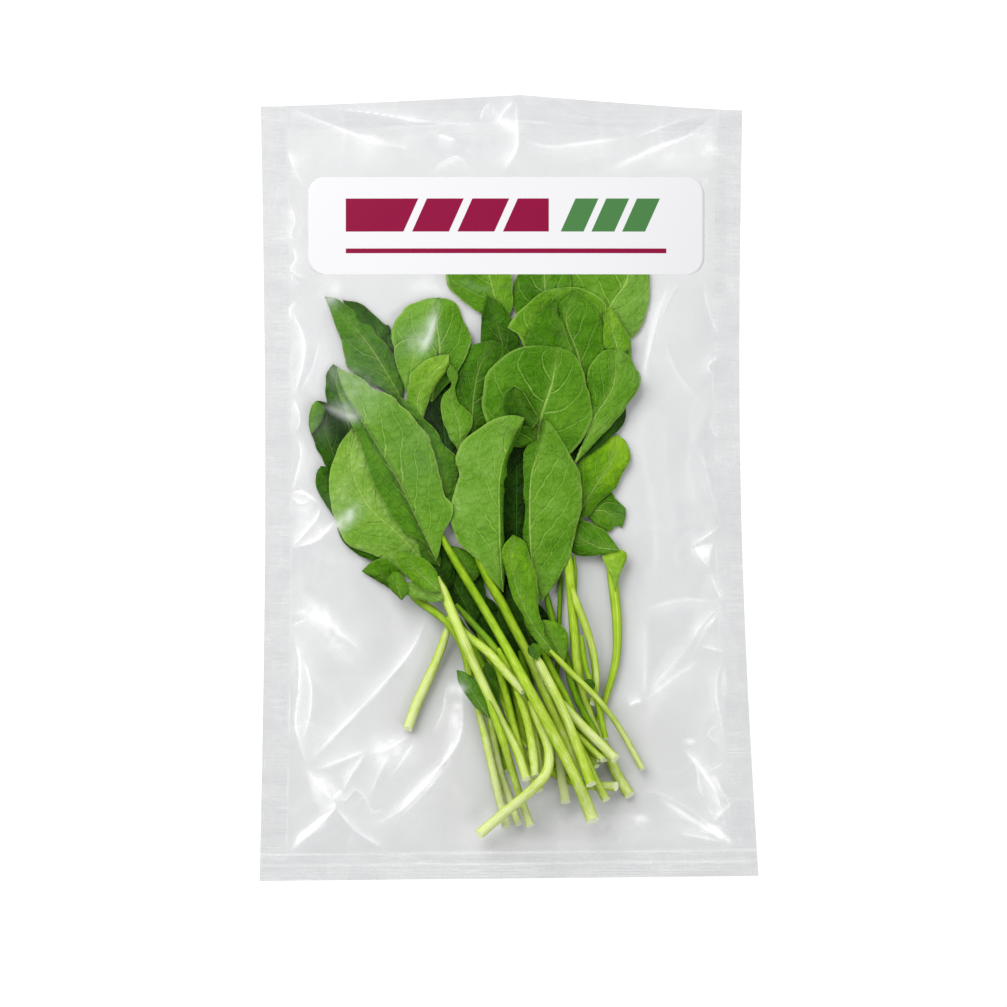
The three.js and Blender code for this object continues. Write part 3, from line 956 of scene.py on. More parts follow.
def leaf_sheet(leaf, heap):
    """A leaf's grid of places, with its own shares of its length and width, laid on the heap."""
    left, rib, right = leaf_outline(leaf, LEAF_ROWS[1])
    length = np.sum(np.linalg.norm(np.diff(rib, axis=0), axis=1))
    width = np.max(np.linalg.norm(left - right, axis=1))
    rows = int(np.clip(length / LEAF_CELL, *LEAF_ROWS))
    columns = 2 * int(np.clip(width / LEAF_CELL, *LEAF_COLUMNS) // 2)
    left, rib, right = leaf_outline(leaf, rows)
    along, across = np.meshgrid(np.linspace(0, 1, rows + 1), np.linspace(-1, 1, columns + 1), indexing="ij")
    edge = np.where(across[..., None] < 0, left[:, None], right[:, None])
    flat = rib[:, None] + (edge - rib[:, None]) * np.abs(across)[..., None]
    outward = edge - rib[:, None]
    outward = outward / np.maximum(np.linalg.norm(outward, axis=2, keepdims=True), 1)
    nibble = 0.5 * unevenness(along * length, across * 3, 3.2, 100 + leaf.seed)
    nibble = nibble + 0.8 * unevenness(along * length, across * 3, 8.0, 130 + leaf.seed)
    flat = flat + outward * (nibble * np.abs(across) ** 6 * np.sin(np.pi * along) ** 0.5)[..., None]
    x, y = flat[..., 0], flat[..., 1]
    veins = float(np.clip(length / VEIN_SPACING, *VEIN_COUNTS))
    own = leaf_relief(leaf, along, across, width, length, veins)
    support = heap.support(x, y) + LEAF_GAP
    z = np.maximum(own + np.quantile(support - own, LEAF_SEAT), support)
    z = np.maximum(blurred(z, 2), heap.support(x, y, 1, 1) + LEAF_GAP)
    return x, y, z, along, across, veins


def lay_sheet(heap, x, y, z, thickness):
    """Raises the heap under a sheet, with more places than its grid has."""
    finer = 4
    rows = np.linspace(0, x.shape[0] - 1.001, finer * x.shape[0])
    columns = np.linspace(0, x.shape[1] - 1.001, finer * x.shape[1])
    row, column = np.meshgrid(rows, columns, indexing="ij")
    i, j = row.astype(int), column.astype(int)
    down, aside = row - i, column - j

    def between(field):
        near = mix(field[i, j], field[i, j + 1], aside)
        far = mix(field[i + 1, j], field[i + 1, j + 1], aside)
        return mix(near, far, down)

    heap.lay(between(x), between(y), between(z) + thickness)


STALK_SIDES = 12
STALK_STEP = 2.2  # millimetres between the rings of a stalk
STALK_FULLNESS = 1.19  # how much thicker a stalk is than its lit part, which is what the photo gives
STALK_SLANT = 0.45  # how far the top of a cut lies back, as a share of the stalk's half width
STALK_NARROWED = 0.55  # a stalk's width at its leaf, as a share
STALK_TAPER = 6.0  # millimetres from there to its full width
STALK_STIFFNESS = 0.98  # 1 for a stalk that spans every hollow under it
SETTLING_STEPS = 300  # steps in which it straightens out


def stalk_line(stalk, heap, flatness):
    """A stalk's middle line laid on the heap, and its half width at each place."""
    route = on_table(stalk.route)
    length = np.sum(np.linalg.norm(np.diff(route, axis=0), axis=1))
    count = max(6, int(length / STALK_STEP))
    line = curve_through(route, count)
    share = np.linspace(0, 1, count)
    radius = mix(stalk.start_width, stalk.end_width, share) * STALK_FULLNESS * MM_PER_PIXEL / 2
    swelling = unevenness(share * length, np.zeros(count), 14, 200 + len(stalk.name) + len(stalk.route))
    radius = radius * (1 + 0.06 * swelling) * mix(STALK_NARROWED, 1, ease(share * length, 0, STALK_TAPER))
    least = heap.support(line[:, 0], line[:, 1], 2, 1) + radius * flatness
    z = least.copy()
    for _ in range(SETTLING_STEPS):
        padded = np.concatenate([[z[1]], z, [z[-2]]])
        straight = (padded[:-2] + padded[2:]) / 2
        z = np.maximum(least, mix(least, straight, STALK_STIFFNESS))
    return line[:, 0], line[:, 1], z, radius, share


def lay_stalk(heap, x, y, z, radius, flatness):
    """Raises the heap under a stalk, from side to side."""
    finer = np.linspace(0, len(x) - 1, 4 * len(x))
    at = np.arange(len(x))
    x, y, z, radius = (np.interp(finer, at, values) for values in (x, y, z, radius))
    ahead_x, ahead_y = np.gradient(x), np.gradient(y)
    size = np.hypot(ahead_x, ahead_y)
    for offset in np.linspace(-0.95, 0.95, 7):
        top = z + radius * flatness * math.sqrt(1 - offset**2)
        heap.lay(x - ahead_y / size * offset * radius, y + ahead_x / size * offset * radius, top)


# ------------------------------------------------------------------ creases and painted glints in the front film


class Crease(NamedTuple):
    """A sharp line in the film, in photo pixels, with its width at both ends in pixels, and its painted
    highlight.
    """

    line: list
    start: float
    end: float
    # Glow is the crease's painted highlight, or its painted shade below 0.
    glow: float  # how white it is, from 0 to 1, or how grey where it is below 0
    lift: float = 0.3  # millimetres


class Glint(NamedTuple):
    """A painted highlight in the film, or painted shade where its glow is below 0: its middle, half length
    and half width in pixels, and its turn.
    """

    across: float
    down: float
    length: float
    width: float
    turn: float
    glow: float


CREASES = [
    # Along the top seal.
    Crease([(286, 108), (338, 128), (371, 140), (403, 146)], 2, 10, 0.5, 0.8),
    Crease([(321, 107), (371, 113), (421, 121), (484, 125)], 3, 5, 0.55, 0.5),
    Crease([(437, 135), (447, 138), (456, 141)], 3, 4, 0.8, 0.4),
    Crease([(494, 105), (493, 110), (492, 116)], 2, 2, 0.5, 0.2),
    Crease([(515, 99), (502, 114), (495, 127)], 5, 4, 0.6, 0.5),
    Crease([(495, 119), (505, 124), (515, 131)], 5, 3, 0.5, 0.4),
    Crease([(516, 100), (517, 128), (516, 148), (499, 177)], 3, 6, 0.6, 0.7),
    Crease([(462, 156), (445, 165), (425, 177)], 4, 7, 0.45, 0.4),
    Crease([(526, 142), (548, 147), (575, 145), (624, 138)], 6, 4, 0.5, 0.5),
    Crease([(720, 112), (690, 135), (655, 149), (600, 176)], 3, 10, 0.5, 1.0),
    Crease([(717, 113), (680, 121), (633, 139)], 2, 3, 0.4),
    # Down the left weld, above the leaves.
    Crease([(288, 150), (296, 173), (306, 190)], 3, 2, 0.7, 0.5),
    Crease([(290, 204), (295, 221), (291, 236), (297, 243)], 2, 2, 0.8, 0.4),
    Crease([(292, 246), (296, 259), (291, 269), (310, 282)], 3, 2.5, 0.85, 0.5),
    Crease([(290, 308), (303, 336), (304, 358), (294, 397)], 2.5, 2.5, 0.85, 0.6),
    Crease([(320, 339), (313, 368), (300, 392)], 3, 2, 0.4, 0.4),
    Crease([(293, 397), (299, 413), (299, 424), (295, 433)], 2, 2, 0.8, 0.4),
    Crease([(296, 432), (301, 452), (297, 473), (291, 493)], 2, 2, 0.7, 0.4),
    Crease([(290, 493), (303, 492), (319, 503)], 2, 4, 0.95, 0.5),
    Crease([(290, 495), (300, 503), (311, 501)], 2, 2, 0.7),
    Crease([(320, 503), (318, 516), (309, 528), (291, 548)], 3, 2, 0.9, 0.6),
    Crease([(291, 548), (316, 540), (334, 522)], 3, 5, 0.95, 0.6),
    # Down the left weld, beside the stalks.
    Crease([(291, 625), (300, 622), (307, 619)], 2, 2, 0.7),
    Crease([(318, 612), (342, 634), (364, 650)], 8, 4, 0.35),
    Crease([(428, 610), (414, 645), (385, 682), (347, 722), (307, 763)], 4, 5.5, 0.8, 0.9),
    Crease([(291, 626), (299, 655), (299, 690), (296, 724), (309, 770)], 3, 3, 0.75, 0.5),
    Crease([(300, 650), (311, 685), (309, 720), (300, 744)], 3, 3, 0.65, 0.5),
    Crease([(314, 770), (341, 760), (369, 749)], 4, 4, 0.6, 0.5),
    Crease([(367, 750), (350, 776), (341, 795)], 4, 3, 0.6, 0.4),
    Crease([(368, 753), (389, 747), (409, 735)], 3, 4, 0.6, 0.4),
    Crease([(390, 752), (379, 773), (369, 799)], 3, 5, 0.45, 0.4),
    Crease([(416, 739), (402, 760), (388, 779)], 3, 3, 0.45, 0.4),
    Crease([(308, 769), (326, 791), (335, 806), (322, 821), (289, 853)], 4, 3, 0.7, 0.8),
    Crease([(335, 806), (357, 831), (391, 852)], 3, 3, 0.8, 0.5),
    Crease([(332, 799), (342, 789)], 4, 2, 0.8),
    Crease([(376, 825), (402, 808), (436, 771), (459, 737), (462, 696)], 5, 3, 0.85, 0.9),
    Crease([(394, 822), (420, 797), (447, 762)], 6, 4, 0.6, 0.5),
    Crease([(447, 686), (442, 713), (432, 734)], 2, 2, 0.55),
    Crease([(370, 838), (389, 851), (420, 853)], 4, 3, 0.5, 0.4),
    # Down the right weld, above the middle.
    Crease([(673, 273), (656, 317), (646, 360), (642, 392)], 5, 9, 0.55, 0.8),
    Crease([(681, 278), (667, 303), (661, 322)], 2, 2, 0.55, 0.4),
    Crease([(642, 392), (640, 440), (650, 494), (656, 560), (644, 614)], 12, 10, 0.17, 0.5),
    Crease([(664, 340), (676, 372), (701, 403)], 3, 3, 0.35, 0.4),
    Crease([(703, 276), (708, 308), (718, 337)], 3, 3, 0.6, 0.4),
    Crease([(719, 355), (708, 366), (712, 376)], 3, 3, 0.75, 0.4),
    Crease([(718, 386), (696, 428), (688, 468), (699, 522)], 9, 10, 0.17, 0.5),
    Crease([(700, 444), (708, 480), (720, 523)], 6, 3, 0.28, 0.4),
    Crease([(689, 547), (706, 536), (720, 526)], 1.5, 2, 0.7, 0.5),
    Crease([(690, 548), (698, 556), (711, 569)], 2, 1.5, 0.4, 0.5),
    Crease([(710, 573), (716, 588), (722, 602)], 2, 3, 0.6),
    Crease([(707, 178), (708, 186)], 5, 2, 0.7),
    # Down the right weld, below the middle.
    Crease([(722, 602), (680, 600), (640, 611)], 3, 8, 0.34, 0.4),
    Crease([(722, 604), (703, 622), (690, 642)], 3, 3, 0.5, 0.4),
    Crease([(642, 703), (645, 675), (644, 614)], 4, 9, 0.26, 0.5),
    Crease([(642, 702), (670, 680), (704, 656)], 5, 6, 0.34, 0.5),
    Crease([(642, 702), (684, 650), (722, 606)], 5, 8, 0.26, 0.5),
    Crease([(643, 701), (636, 701), (628, 706)], 4, 3, 0.85, 0.4),
    Crease([(700, 646), (711, 648), (724, 652)], 3, 3, 0.6),
    Crease([(723, 652), (716, 685), (723, 735), (725, 764)], 3, 4, 0.65, 0.5),
    Crease([(683, 747), (703, 772), (721, 798)], 3.5, 4, 0.85, 0.5),
    Crease([(712, 771), (721, 790), (730, 803)], 3, 3, 0.7, 0.4),
    Crease([(713, 821), (731, 802)], 5, 4, 0.75, 0.4),
    Crease([(659, 796), (690, 818), (733, 845)], 7, 4, 0.6, 0.8),
    Crease([(674, 832), (705, 838), (733, 845)], 3, 3, 0.55, 0.5),
    Crease([(704, 822), (718, 832), (732, 843)], 3, 5, 0.85, 0.4),
    # Small crumples.
    Crease([(685, 747), (692, 757), (697, 770), (700, 790), (707, 801)], 2, 2.5, 0.55, 0.4),
    Crease([(690, 752), (702, 765), (712, 785), (720, 805), (730, 840)], 1.5, 3, 0.6, 0.4),
    Crease([(720, 720), (708, 734), (722, 746)], 2, 2, 0.5),
    Crease([(700, 772), (714, 768), (726, 760)], 2, 1.5, 0.5),
    Crease([(635, 790), (660, 794), (690, 810), (722, 836)], 2, 2.5, 0.40, 0.4),
    Crease([(662, 814), (695, 822), (726, 840)], 1.5, 2, 0.45),
    Crease([(694, 830), (714, 834), (728, 843)], 1.5, 3, 0.6),
    Crease([(706, 806), (716, 814), (730, 812)], 2, 1.5, 0.5),
    Crease([(338, 790), (345, 800), (355, 790), (368, 801), (364, 812)], 1.5, 1.5, 0.5),
    Crease([(353, 808), (364, 797), (374, 811), (386, 806)], 1.5, 2, 0.5),
    Crease([(377, 147), (394, 146), (412, 150)], 3, 2, 0.30),
    Crease([(427, 176), (440, 165), (457, 157), (468, 166), (482, 177)], 3, 2, 0.40),
    Crease([(493, 100), (483, 110), (480, 122)], 2, 2, 0.5),
    Crease([(293, 207), (304, 220), (300, 234), (309, 241)], 1.5, 1.5, 0.5),
    Crease([(290, 250), (302, 256), (316, 263)], 1.5, 2, 0.45),
    Crease([(300, 263), (293, 277), (309, 291)], 1.5, 2, 0.5),
    Crease([(296, 300), (290, 309), (291, 322)], 3, 1.5, 0.6),
    Crease([(540, 108), (585, 118), (650, 120), (712, 114)], 3, 2, 0.22),
    Crease([(560, 170), (590, 158), (622, 156), (660, 164)], 3, 3, 0.16),
    Crease([(707, 196), (712, 214), (706, 236), (716, 262)], 2, 2, 0.4),
    Crease([(716, 410), (710, 424), (718, 440)], 2, 2, 0.45),
    # Over the leaves.
    Crease([(438, 311), (430, 335), (419, 357)], 3, 11, 0.5, 0.5),
    Crease([(321, 405), (338, 412), (362, 423)], 5, 12, 0.31, 0.4),
]

GLINTS = [
    Glint(471, 146, 14, 8, 0, -0.25),
    Glint(505, 124, 13, 7, 20, 0.26),
    Glint(331, 289, 9, 14, 0, 0.5),
    Glint(425, 283, 17, 9, 0, 0.3),
    Glint(347, 519, 17, 7, -42, 0.34),
    Glint(317, 614, 17, 10, 40, 0.5),
    Glint(337, 640, 24, 12, 38, 0.22),
    Glint(394, 750, 24, 15, 10, 0.3),
    Glint(326, 785, 17, 9, 45, 0.35),
    Glint(310, 832, 26, 6, -42, 0.2),
    Glint(406, 802, 28, 8, -45, 0.22),
    Glint(456, 712, 22, 5, -80, 0.4),
    Glint(457, 688, 8, 6, 0, 0.4),
    Glint(660, 690, 32, 12, -55, 0.16),
    Glint(640, 818, 8, 5, 0, 0.4),
    Glint(705, 550, 10, 6, -40, 0.2),
    Glint(690, 741, 5, 3, 0, 0.5),
    Glint(712, 830, 16, 7, 35, 0.15),
    Glint(708, 150, 10, 6, 0, 0.3),
    Glint(348, 411, 14, 6, 20, 0.15),
    Glint(350, 380, 30, 15, 38, 0.10),
    Glint(366, 345, 46, 30, 40, 0.018),
    Glint(410, 450, 52, 34, 60, 0.016),
    Glint(320, 425, 9, 14, -20, 0.06),
    Glint(340, 500, 30, 12, -60, 0.03),
    Glint(610, 832, 90, 14, 2, 0.10),
    Glint(560, 845, 50, 8, 2, 0.10),
    Glint(585, 818, 62, 12, 4, 0.11),
    Glint(470, 284, 12, 5, 30, 0.05),
    Glint(484, 289, 4, 3, 0, 0.07),
    Glint(418, 345, 16, 9, -20, 0.10),
    Glint(432, 322, 5, 15, 14, 0.16),
]


class Facet(NamedTuple):
    """A flat patch of film between creases, in photo pixels, and its painted light, or its painted shade
    below 0.
    """

    outline: list
    glow: float


FACETS = [
    Facet([(690, 547), (700, 538), (718, 527), (709, 538), (701, 544)], 0.32),
    Facet([(691, 548), (702, 543), (714, 544), (711, 552), (710, 569), (703, 563), (697, 555)], 0.62),
    Facet([(712, 552), (719, 545), (722, 600), (714, 584)], 0.14),
    Facet([(676, 480), (690, 520), (718, 526), (694, 548), (682, 590), (672, 540)], -0.10),
    Facet([(722, 604), (716, 620), (702, 640), (690, 660), (703, 625)], 0.30),
    Facet([(646, 610), (720, 603), (690, 636), (648, 680)], -0.10),
    Facet([(725, 664), (728, 690), (722, 712), (716, 688)], 0.28),
    Facet([(700, 770), (722, 800), (728, 815), (706, 800)], 0.18),
    Facet([(655, 792), (684, 806), (732, 844), (690, 828), (668, 812)], 0.16),
    Facet([(706, 822), (720, 826), (734, 845), (716, 838)], 0.34),
    Facet([(306, 766), (319, 781), (337, 806), (322, 813), (313, 800)], 0.24),
    Facet([(290, 852), (298, 833), (318, 818), (334, 808), (324, 828), (302, 841)], 0.34),
    Facet([(340, 770), (366, 752), (352, 780), (341, 797)], 0.16),
    Facet([(368, 752), (408, 736), (398, 760), (378, 776)], 0.14),
    Facet([(396, 818), (404, 798), (440, 764), (454, 736), (452, 764), (426, 794)], 0.22),
    Facet([(290, 626), (299, 655), (299, 690), (296, 720), (291, 700)], 0.10),
    Facet([(291, 614), (298, 606), (318, 606), (332, 622), (344, 640), (318, 624)], 0.20),
    Facet([(292, 497), (318, 504), (308, 526), (292, 546)], 0.12),
    Facet([(290, 400), (299, 414), (296, 432), (301, 452), (292, 490)], 0.16),
    Facet([(290, 310), (302, 337), (304, 358), (295, 395), (291, 350)], -0.12),
    Facet([(306, 340), (324, 352), (316, 400), (300, 400)], -0.10),
    Facet([(289, 204), (296, 222), (292, 236), (298, 244), (290, 262)], 0.16),
    Facet([(288, 126), (338, 134), (398, 148), (420, 172), (330, 172), (296, 160)], 0.03),
    Facet([(404, 132), (494, 128), (514, 150), (500, 176), (438, 160)], -0.08),
    Facet([(524, 108), (632, 112), (716, 114), (650, 138), (530, 138)], -0.08),
    Facet([(720, 114), (718, 176), (640, 176), (662, 150)], 0.12),
    Facet([(647, 300), (662, 300), (652, 380), (642, 430), (640, 380)], 0.16),
    Facet([(692, 440), (714, 380), (716, 520), (700, 500)], -0.14),
]
# A crease has painted light on one side and painted shade on the other.
BROAD_REACH = 9.0  # millimetres over which a crease lightens one side of it and darkens the other
CREASE_STEPS = 90


def facet_field(x, y):
    """Painted light and painted shade on the flat patches between the creases."""
    total = np.zeros_like(x)
    streaks = 1 + 0.35 * unevenness(x, y, 4.0, 24)
    for facet in FACETS:
        corners = on_table(facet.outline)
        inside = np.zeros(len(x), bool)
        nearest = np.full(len(x), 99.0)
        for (ax, ay), (bx, by) in zip(corners, np.roll(corners, -1, axis=0)):
            wide, high = bx - ax, by - ay
            share = np.clip(((x - ax) * wide + (y - ay) * high) / (wide * wide + high * high), 0, 1)
            nearest = np.minimum(nearest, np.hypot(x - ax - wide * share, y - ay - high * share))
            crosses = (ay > y) != (by > y)
            inside ^= crosses & ((x - ax) * abs(high) < (y - ay) * wide * np.sign(high))
        depth = np.where(inside, nearest, -nearest)
        soft = ease(depth, -0.35, 1.1 if abs(facet.glow) > 0.2 else 3.5)
        total = total + facet.glow * soft * streaks
    return total


def crumple(x, y, nearest):
    """Painted highlights on fine ridges and painted light and shade on flat patches all over the film, most
    near its welds: how white and how grey.
    """
    drift = 4 * unevenness(x, y, 15, 51)
    wide_turn = unevenness(x + drift, y * 0.6 - drift, 13, 52)
    small_turn = unevenness(x - drift, y * 0.7, 6, 53)
    here = 0.3 + 0.7 * np.exp(-np.maximum(nearest, 0) / 20)
    patchy = ease(unevenness(x, y, 24, 54), -0.4, 0.5)
    ridges = 0.10 * (1 - np.abs(wide_turn)) ** 9 + 0.08 * (1 - np.abs(small_turn)) ** 10 * patchy
    light = ridges + 0.03 * ease(wide_turn, -0.02, 0.06) * ease(wide_turn, 0.7, 0)
    hollows = ease(wide_turn, 0.02, -0.05) * ease(wide_turn, -0.8, -0.1)
    grey = 0.07 * hollows + 0.04 * ease(small_turn, 0, -0.4)
    return 0.85 * light * here, 1.15 * grey * here


def crease_fields(x, y):
    """The creases' painted highlights and painted shade, on their lines and on their two sides, and how far
    they lift the film.
    """
    glow, shade, painted_lit_side, grey, lift = (np.zeros_like(x) for _ in range(5))
    for number, crease in enumerate(CREASES):
        line = curve_through(on_table(crease.line), CREASE_STEPS)
        ahead = np.gradient(line, axis=0)
        reach = 4 * max(crease.start, crease.end) * MM_PER_PIXEL + BROAD_REACH
        low, high = line.min(0) - reach, line.max(0) + reach
        near = np.flatnonzero((x > low[0]) & (x < high[0]) & (y > low[1]) & (y < high[1]))
        if not len(near):
            continue
        distance = np.hypot(x[near, None] - line[:, 0], y[near, None] - line[:, 1])
        closest = distance.argmin(1)
        share = closest / (len(line) - 1)
        distance = distance.min(1)
        aside, above = x[near] - line[closest, 0], y[near] - line[closest, 1]
        leftward = ahead[closest, 0] * above - ahead[closest, 1] * aside
        soft_side = ease(leftward * (1 if number % 2 else -1), -0.02, 0.02)
        along = share * len(line) * np.linalg.norm(ahead[0])
        wander = unevenness(along, number * np.ones_like(share), 7.0, 7)
        width = mix(crease.start, crease.end, share) * MM_PER_PIXEL / 2 * (1 + 0.4 * wander)
        ends = ease(share, -0.05, 0.3) * ease(1 - share, -0.05, 0.3)
        flicker = unevenness(along, number * np.ones_like(share), 11.0, 8)
        strength = crease.glow * ends * (0.72 + 0.28 * flicker)
        core = np.exp(-((distance / np.maximum(width * 0.85, 0.28)) ** 2))
        fading = np.exp(-distance / (2.0 * width + 0.6)) * (0.12 + 0.4 * soft_side)
        painted = np.maximum(core, fading)
        glow[near] = np.maximum(glow[near], strength * painted)
        shade[near] = np.maximum(shade[near], -strength * painted)
        lift[near] = lift[near] + crease.lift * ends * np.exp(-((distance / (1.5 * width + 0.8)) ** 2))
        # Painted light on one side of the crease and painted shade on the other.
        broad = np.exp(-((distance / (0.6 * BROAD_REACH)) ** 1.5)) * ends * max(crease.glow, 0)
        painted_lit_side[near] += 0.11 * broad * soft_side
        grey[near] += 0.11 * broad * (1 - soft_side)
    return glow, shade, np.minimum(painted_lit_side, 0.25), grey, lift


def glint_field(x, y):
    """The painted highlights of the soft patches in the film, below 0 where they are painted shade."""
    total = np.zeros_like(x)
    streaks = 1 + 0.5 * unevenness(x, y, 2.2, 21) + 0.35 * unevenness(x, y, 5.0, 22)
    for glint in GLINTS:
        middle = on_table([(glint.across, glint.down)])[0]
        angle = math.radians(-glint.turn)
        aside, ahead = x - middle[0], y - middle[1]
        u = (aside * math.cos(angle) + ahead * math.sin(angle)) / (glint.length * MM_PER_PIXEL)
        v = (ahead * math.cos(angle) - aside * math.sin(angle)) / (glint.width * MM_PER_PIXEL)
        total = total + glint.glow * np.exp(-(u * u + v * v)) * streaks
    return total


# ------------------------------------------------------------------ finishes


THREAD_CELL = 0.45  # millimetres between the fine threads that are pressed into the welds
DOT_SPACING = 1.15  # millimetres between the pressed dots
DOTS_TOP = OUTLINE["bottom"] + 5.6  # the dots are clearest below this
WELD_LOSS = 0.035  # how much less light a welded film lets through than the front one
BACK_LOSS = 0.06
# A crease's white is its painted highlight; past this much the film there also mirrors more.
SHINE_START = 0.3  # how white a crease is before it also mirrors more
# The grey of the painted shade beside creases and in hollows.
PAINTED_SHADE_GREY = seen(186, 187, 190)


def pressed_weld(paint, place):
    """The pattern that is pressed into a weld: how white and how grey it is, and its threads."""
    threads = paint.noise(paint.stretched(place, (0.05, 1.0, 0.0)), THREAD_CELL, 2.0)
    posts = paint.noise(paint.stretched(place, (1.0, 0.05, 0.0)), THREAD_CELL, 2.0)
    bands = paint.noise(paint.stretched(place, (0.15, 1.0, 0.0)), 7.0, 1.0)
    specks = paint.noise(place, 0.5, 1.0)
    grain = threads.ease(0.48, 0.85) * bands.ease(0.3, 0.7) * 0.17 + posts.ease(0.5, 0.85) * 0.07
    x, y, z = paint.parts(place)
    across, along = (abs((part / DOT_SPACING).fraction() - 0.5).ease(0.26, 0.12) for part in (x, y))
    dots = across * along * bands.ease(0.35, 0.6) * (0.05 + y.ease(DOTS_TOP, DOTS_TOP - 1) * 0.16)
    white = grain + dots + specks.ease(0.60, 0.80) * 0.10
    grey = threads.ease(0.5, 0.2) * 0.10 + posts.ease(0.5, 0.2) * 0.05 + bands.ease(0.5, 0.3) * 0.04
    return white, grey, threads


def film_finish(name, clear, roughness, welded):
    """Clear glossy film with painted highlights and painted shade at its creases. The welded one has fine
    threads and specks.
    """
    paint = Paint(name)
    place = paint.place()
    # Painted light: white creases, glints and patches that stand in for reflections, and soft painted light
    # on the back film.
    crease = paint.field("crease")
    white, grey = crease, paint.field("shade")
    relief = paint.noise(place, 6.0, 1.0)
    if welded:
        pressed_white, pressed_grey, threads = pressed_weld(paint, place)
        white = white + pressed_white
        grey = grey + pressed_grey
        relief = relief * 0.4 + threads * 0.10
    normal = paint.bump(relief, 0.4)
    through = paint.node("BsdfTransparent", inputs={"Color": (clear, clear, clear * 1.002, 1)})
    glossy_values = {"Color": (1, 1, 1, 1), "Roughness": roughness, "Normal": normal}
    gloss = paint.node("BsdfGlossy", inputs=glossy_values)
    facing = paint.node("LayerWeight", inputs={"Blend": 0.5}, output="Facing")
    shine = facing**4.0 * 0.8 + (crease - SHINE_START).most(0.0) * 0.12 - 0.001
    film = paint.node("MixShader", inputs={0: shine.most(0.0).least(1.0), 1: through, 2: gloss})
    # Painted shade: a grey diffuse layer, mixed in by the shade field.
    shade = paint.node("BsdfDiffuse", inputs={"Color": PAINTED_SHADE_GREY, "Normal": normal})
    film = paint.node("MixShader", inputs={0: grey.most(0.0).least(0.9), 1: film, 2: shade})
    # Painted highlight: a white diffuse layer, mixed in by the painted light field and, on the welds, the
    # pressed grain.
    painted_light_and_grain = paint.node("BsdfDiffuse", inputs={"Color": seen(255, 255, 255), "Normal": normal})
    return paint.finish(paint.node("MixShader", inputs={0: white.most(0.0).least(0.97), 1: film, 2: painted_light_and_grain}))


LEAF_GREENS = [
    (0.0, seen(16, 40, 1)),
    (0.2, seen(42, 85, 3)),
    (0.4, seen(67, 121, 8)),
    (0.6, seen(94, 146, 30)),
    (0.8, seen(124, 169, 68)),
    (1.0, seen(162, 200, 122)),
]
LIME_GREENS = [
    (0.0, seen(40, 84, 0)),
    (0.4, seen(90, 144, 4)),
    (0.7, seen(142, 188, 24)),
    (1.0, seen(190, 222, 80)),
]
STALK_GREENS = [
    (0.0, seen(58, 108, 2)),
    (0.35, seen(126, 175, 10)),
    (0.65, seen(180, 215, 44)),
    (0.85, seen(208, 232, 96)),
    (1.0, seen(234, 246, 168)),
]
# The dark vein colour follows the dark tones, so it also carries their painted shade.
DARK_VEIN = seen(54, 104, 26)  # the veins of the darkest leaves
CUT_END = seen(240, 248, 200)
NET_CELL = 3.4  # millimetres between the fine veins of a leaf
SMALL_CELL = 1.3  # millimetres across the smallest pillows between them


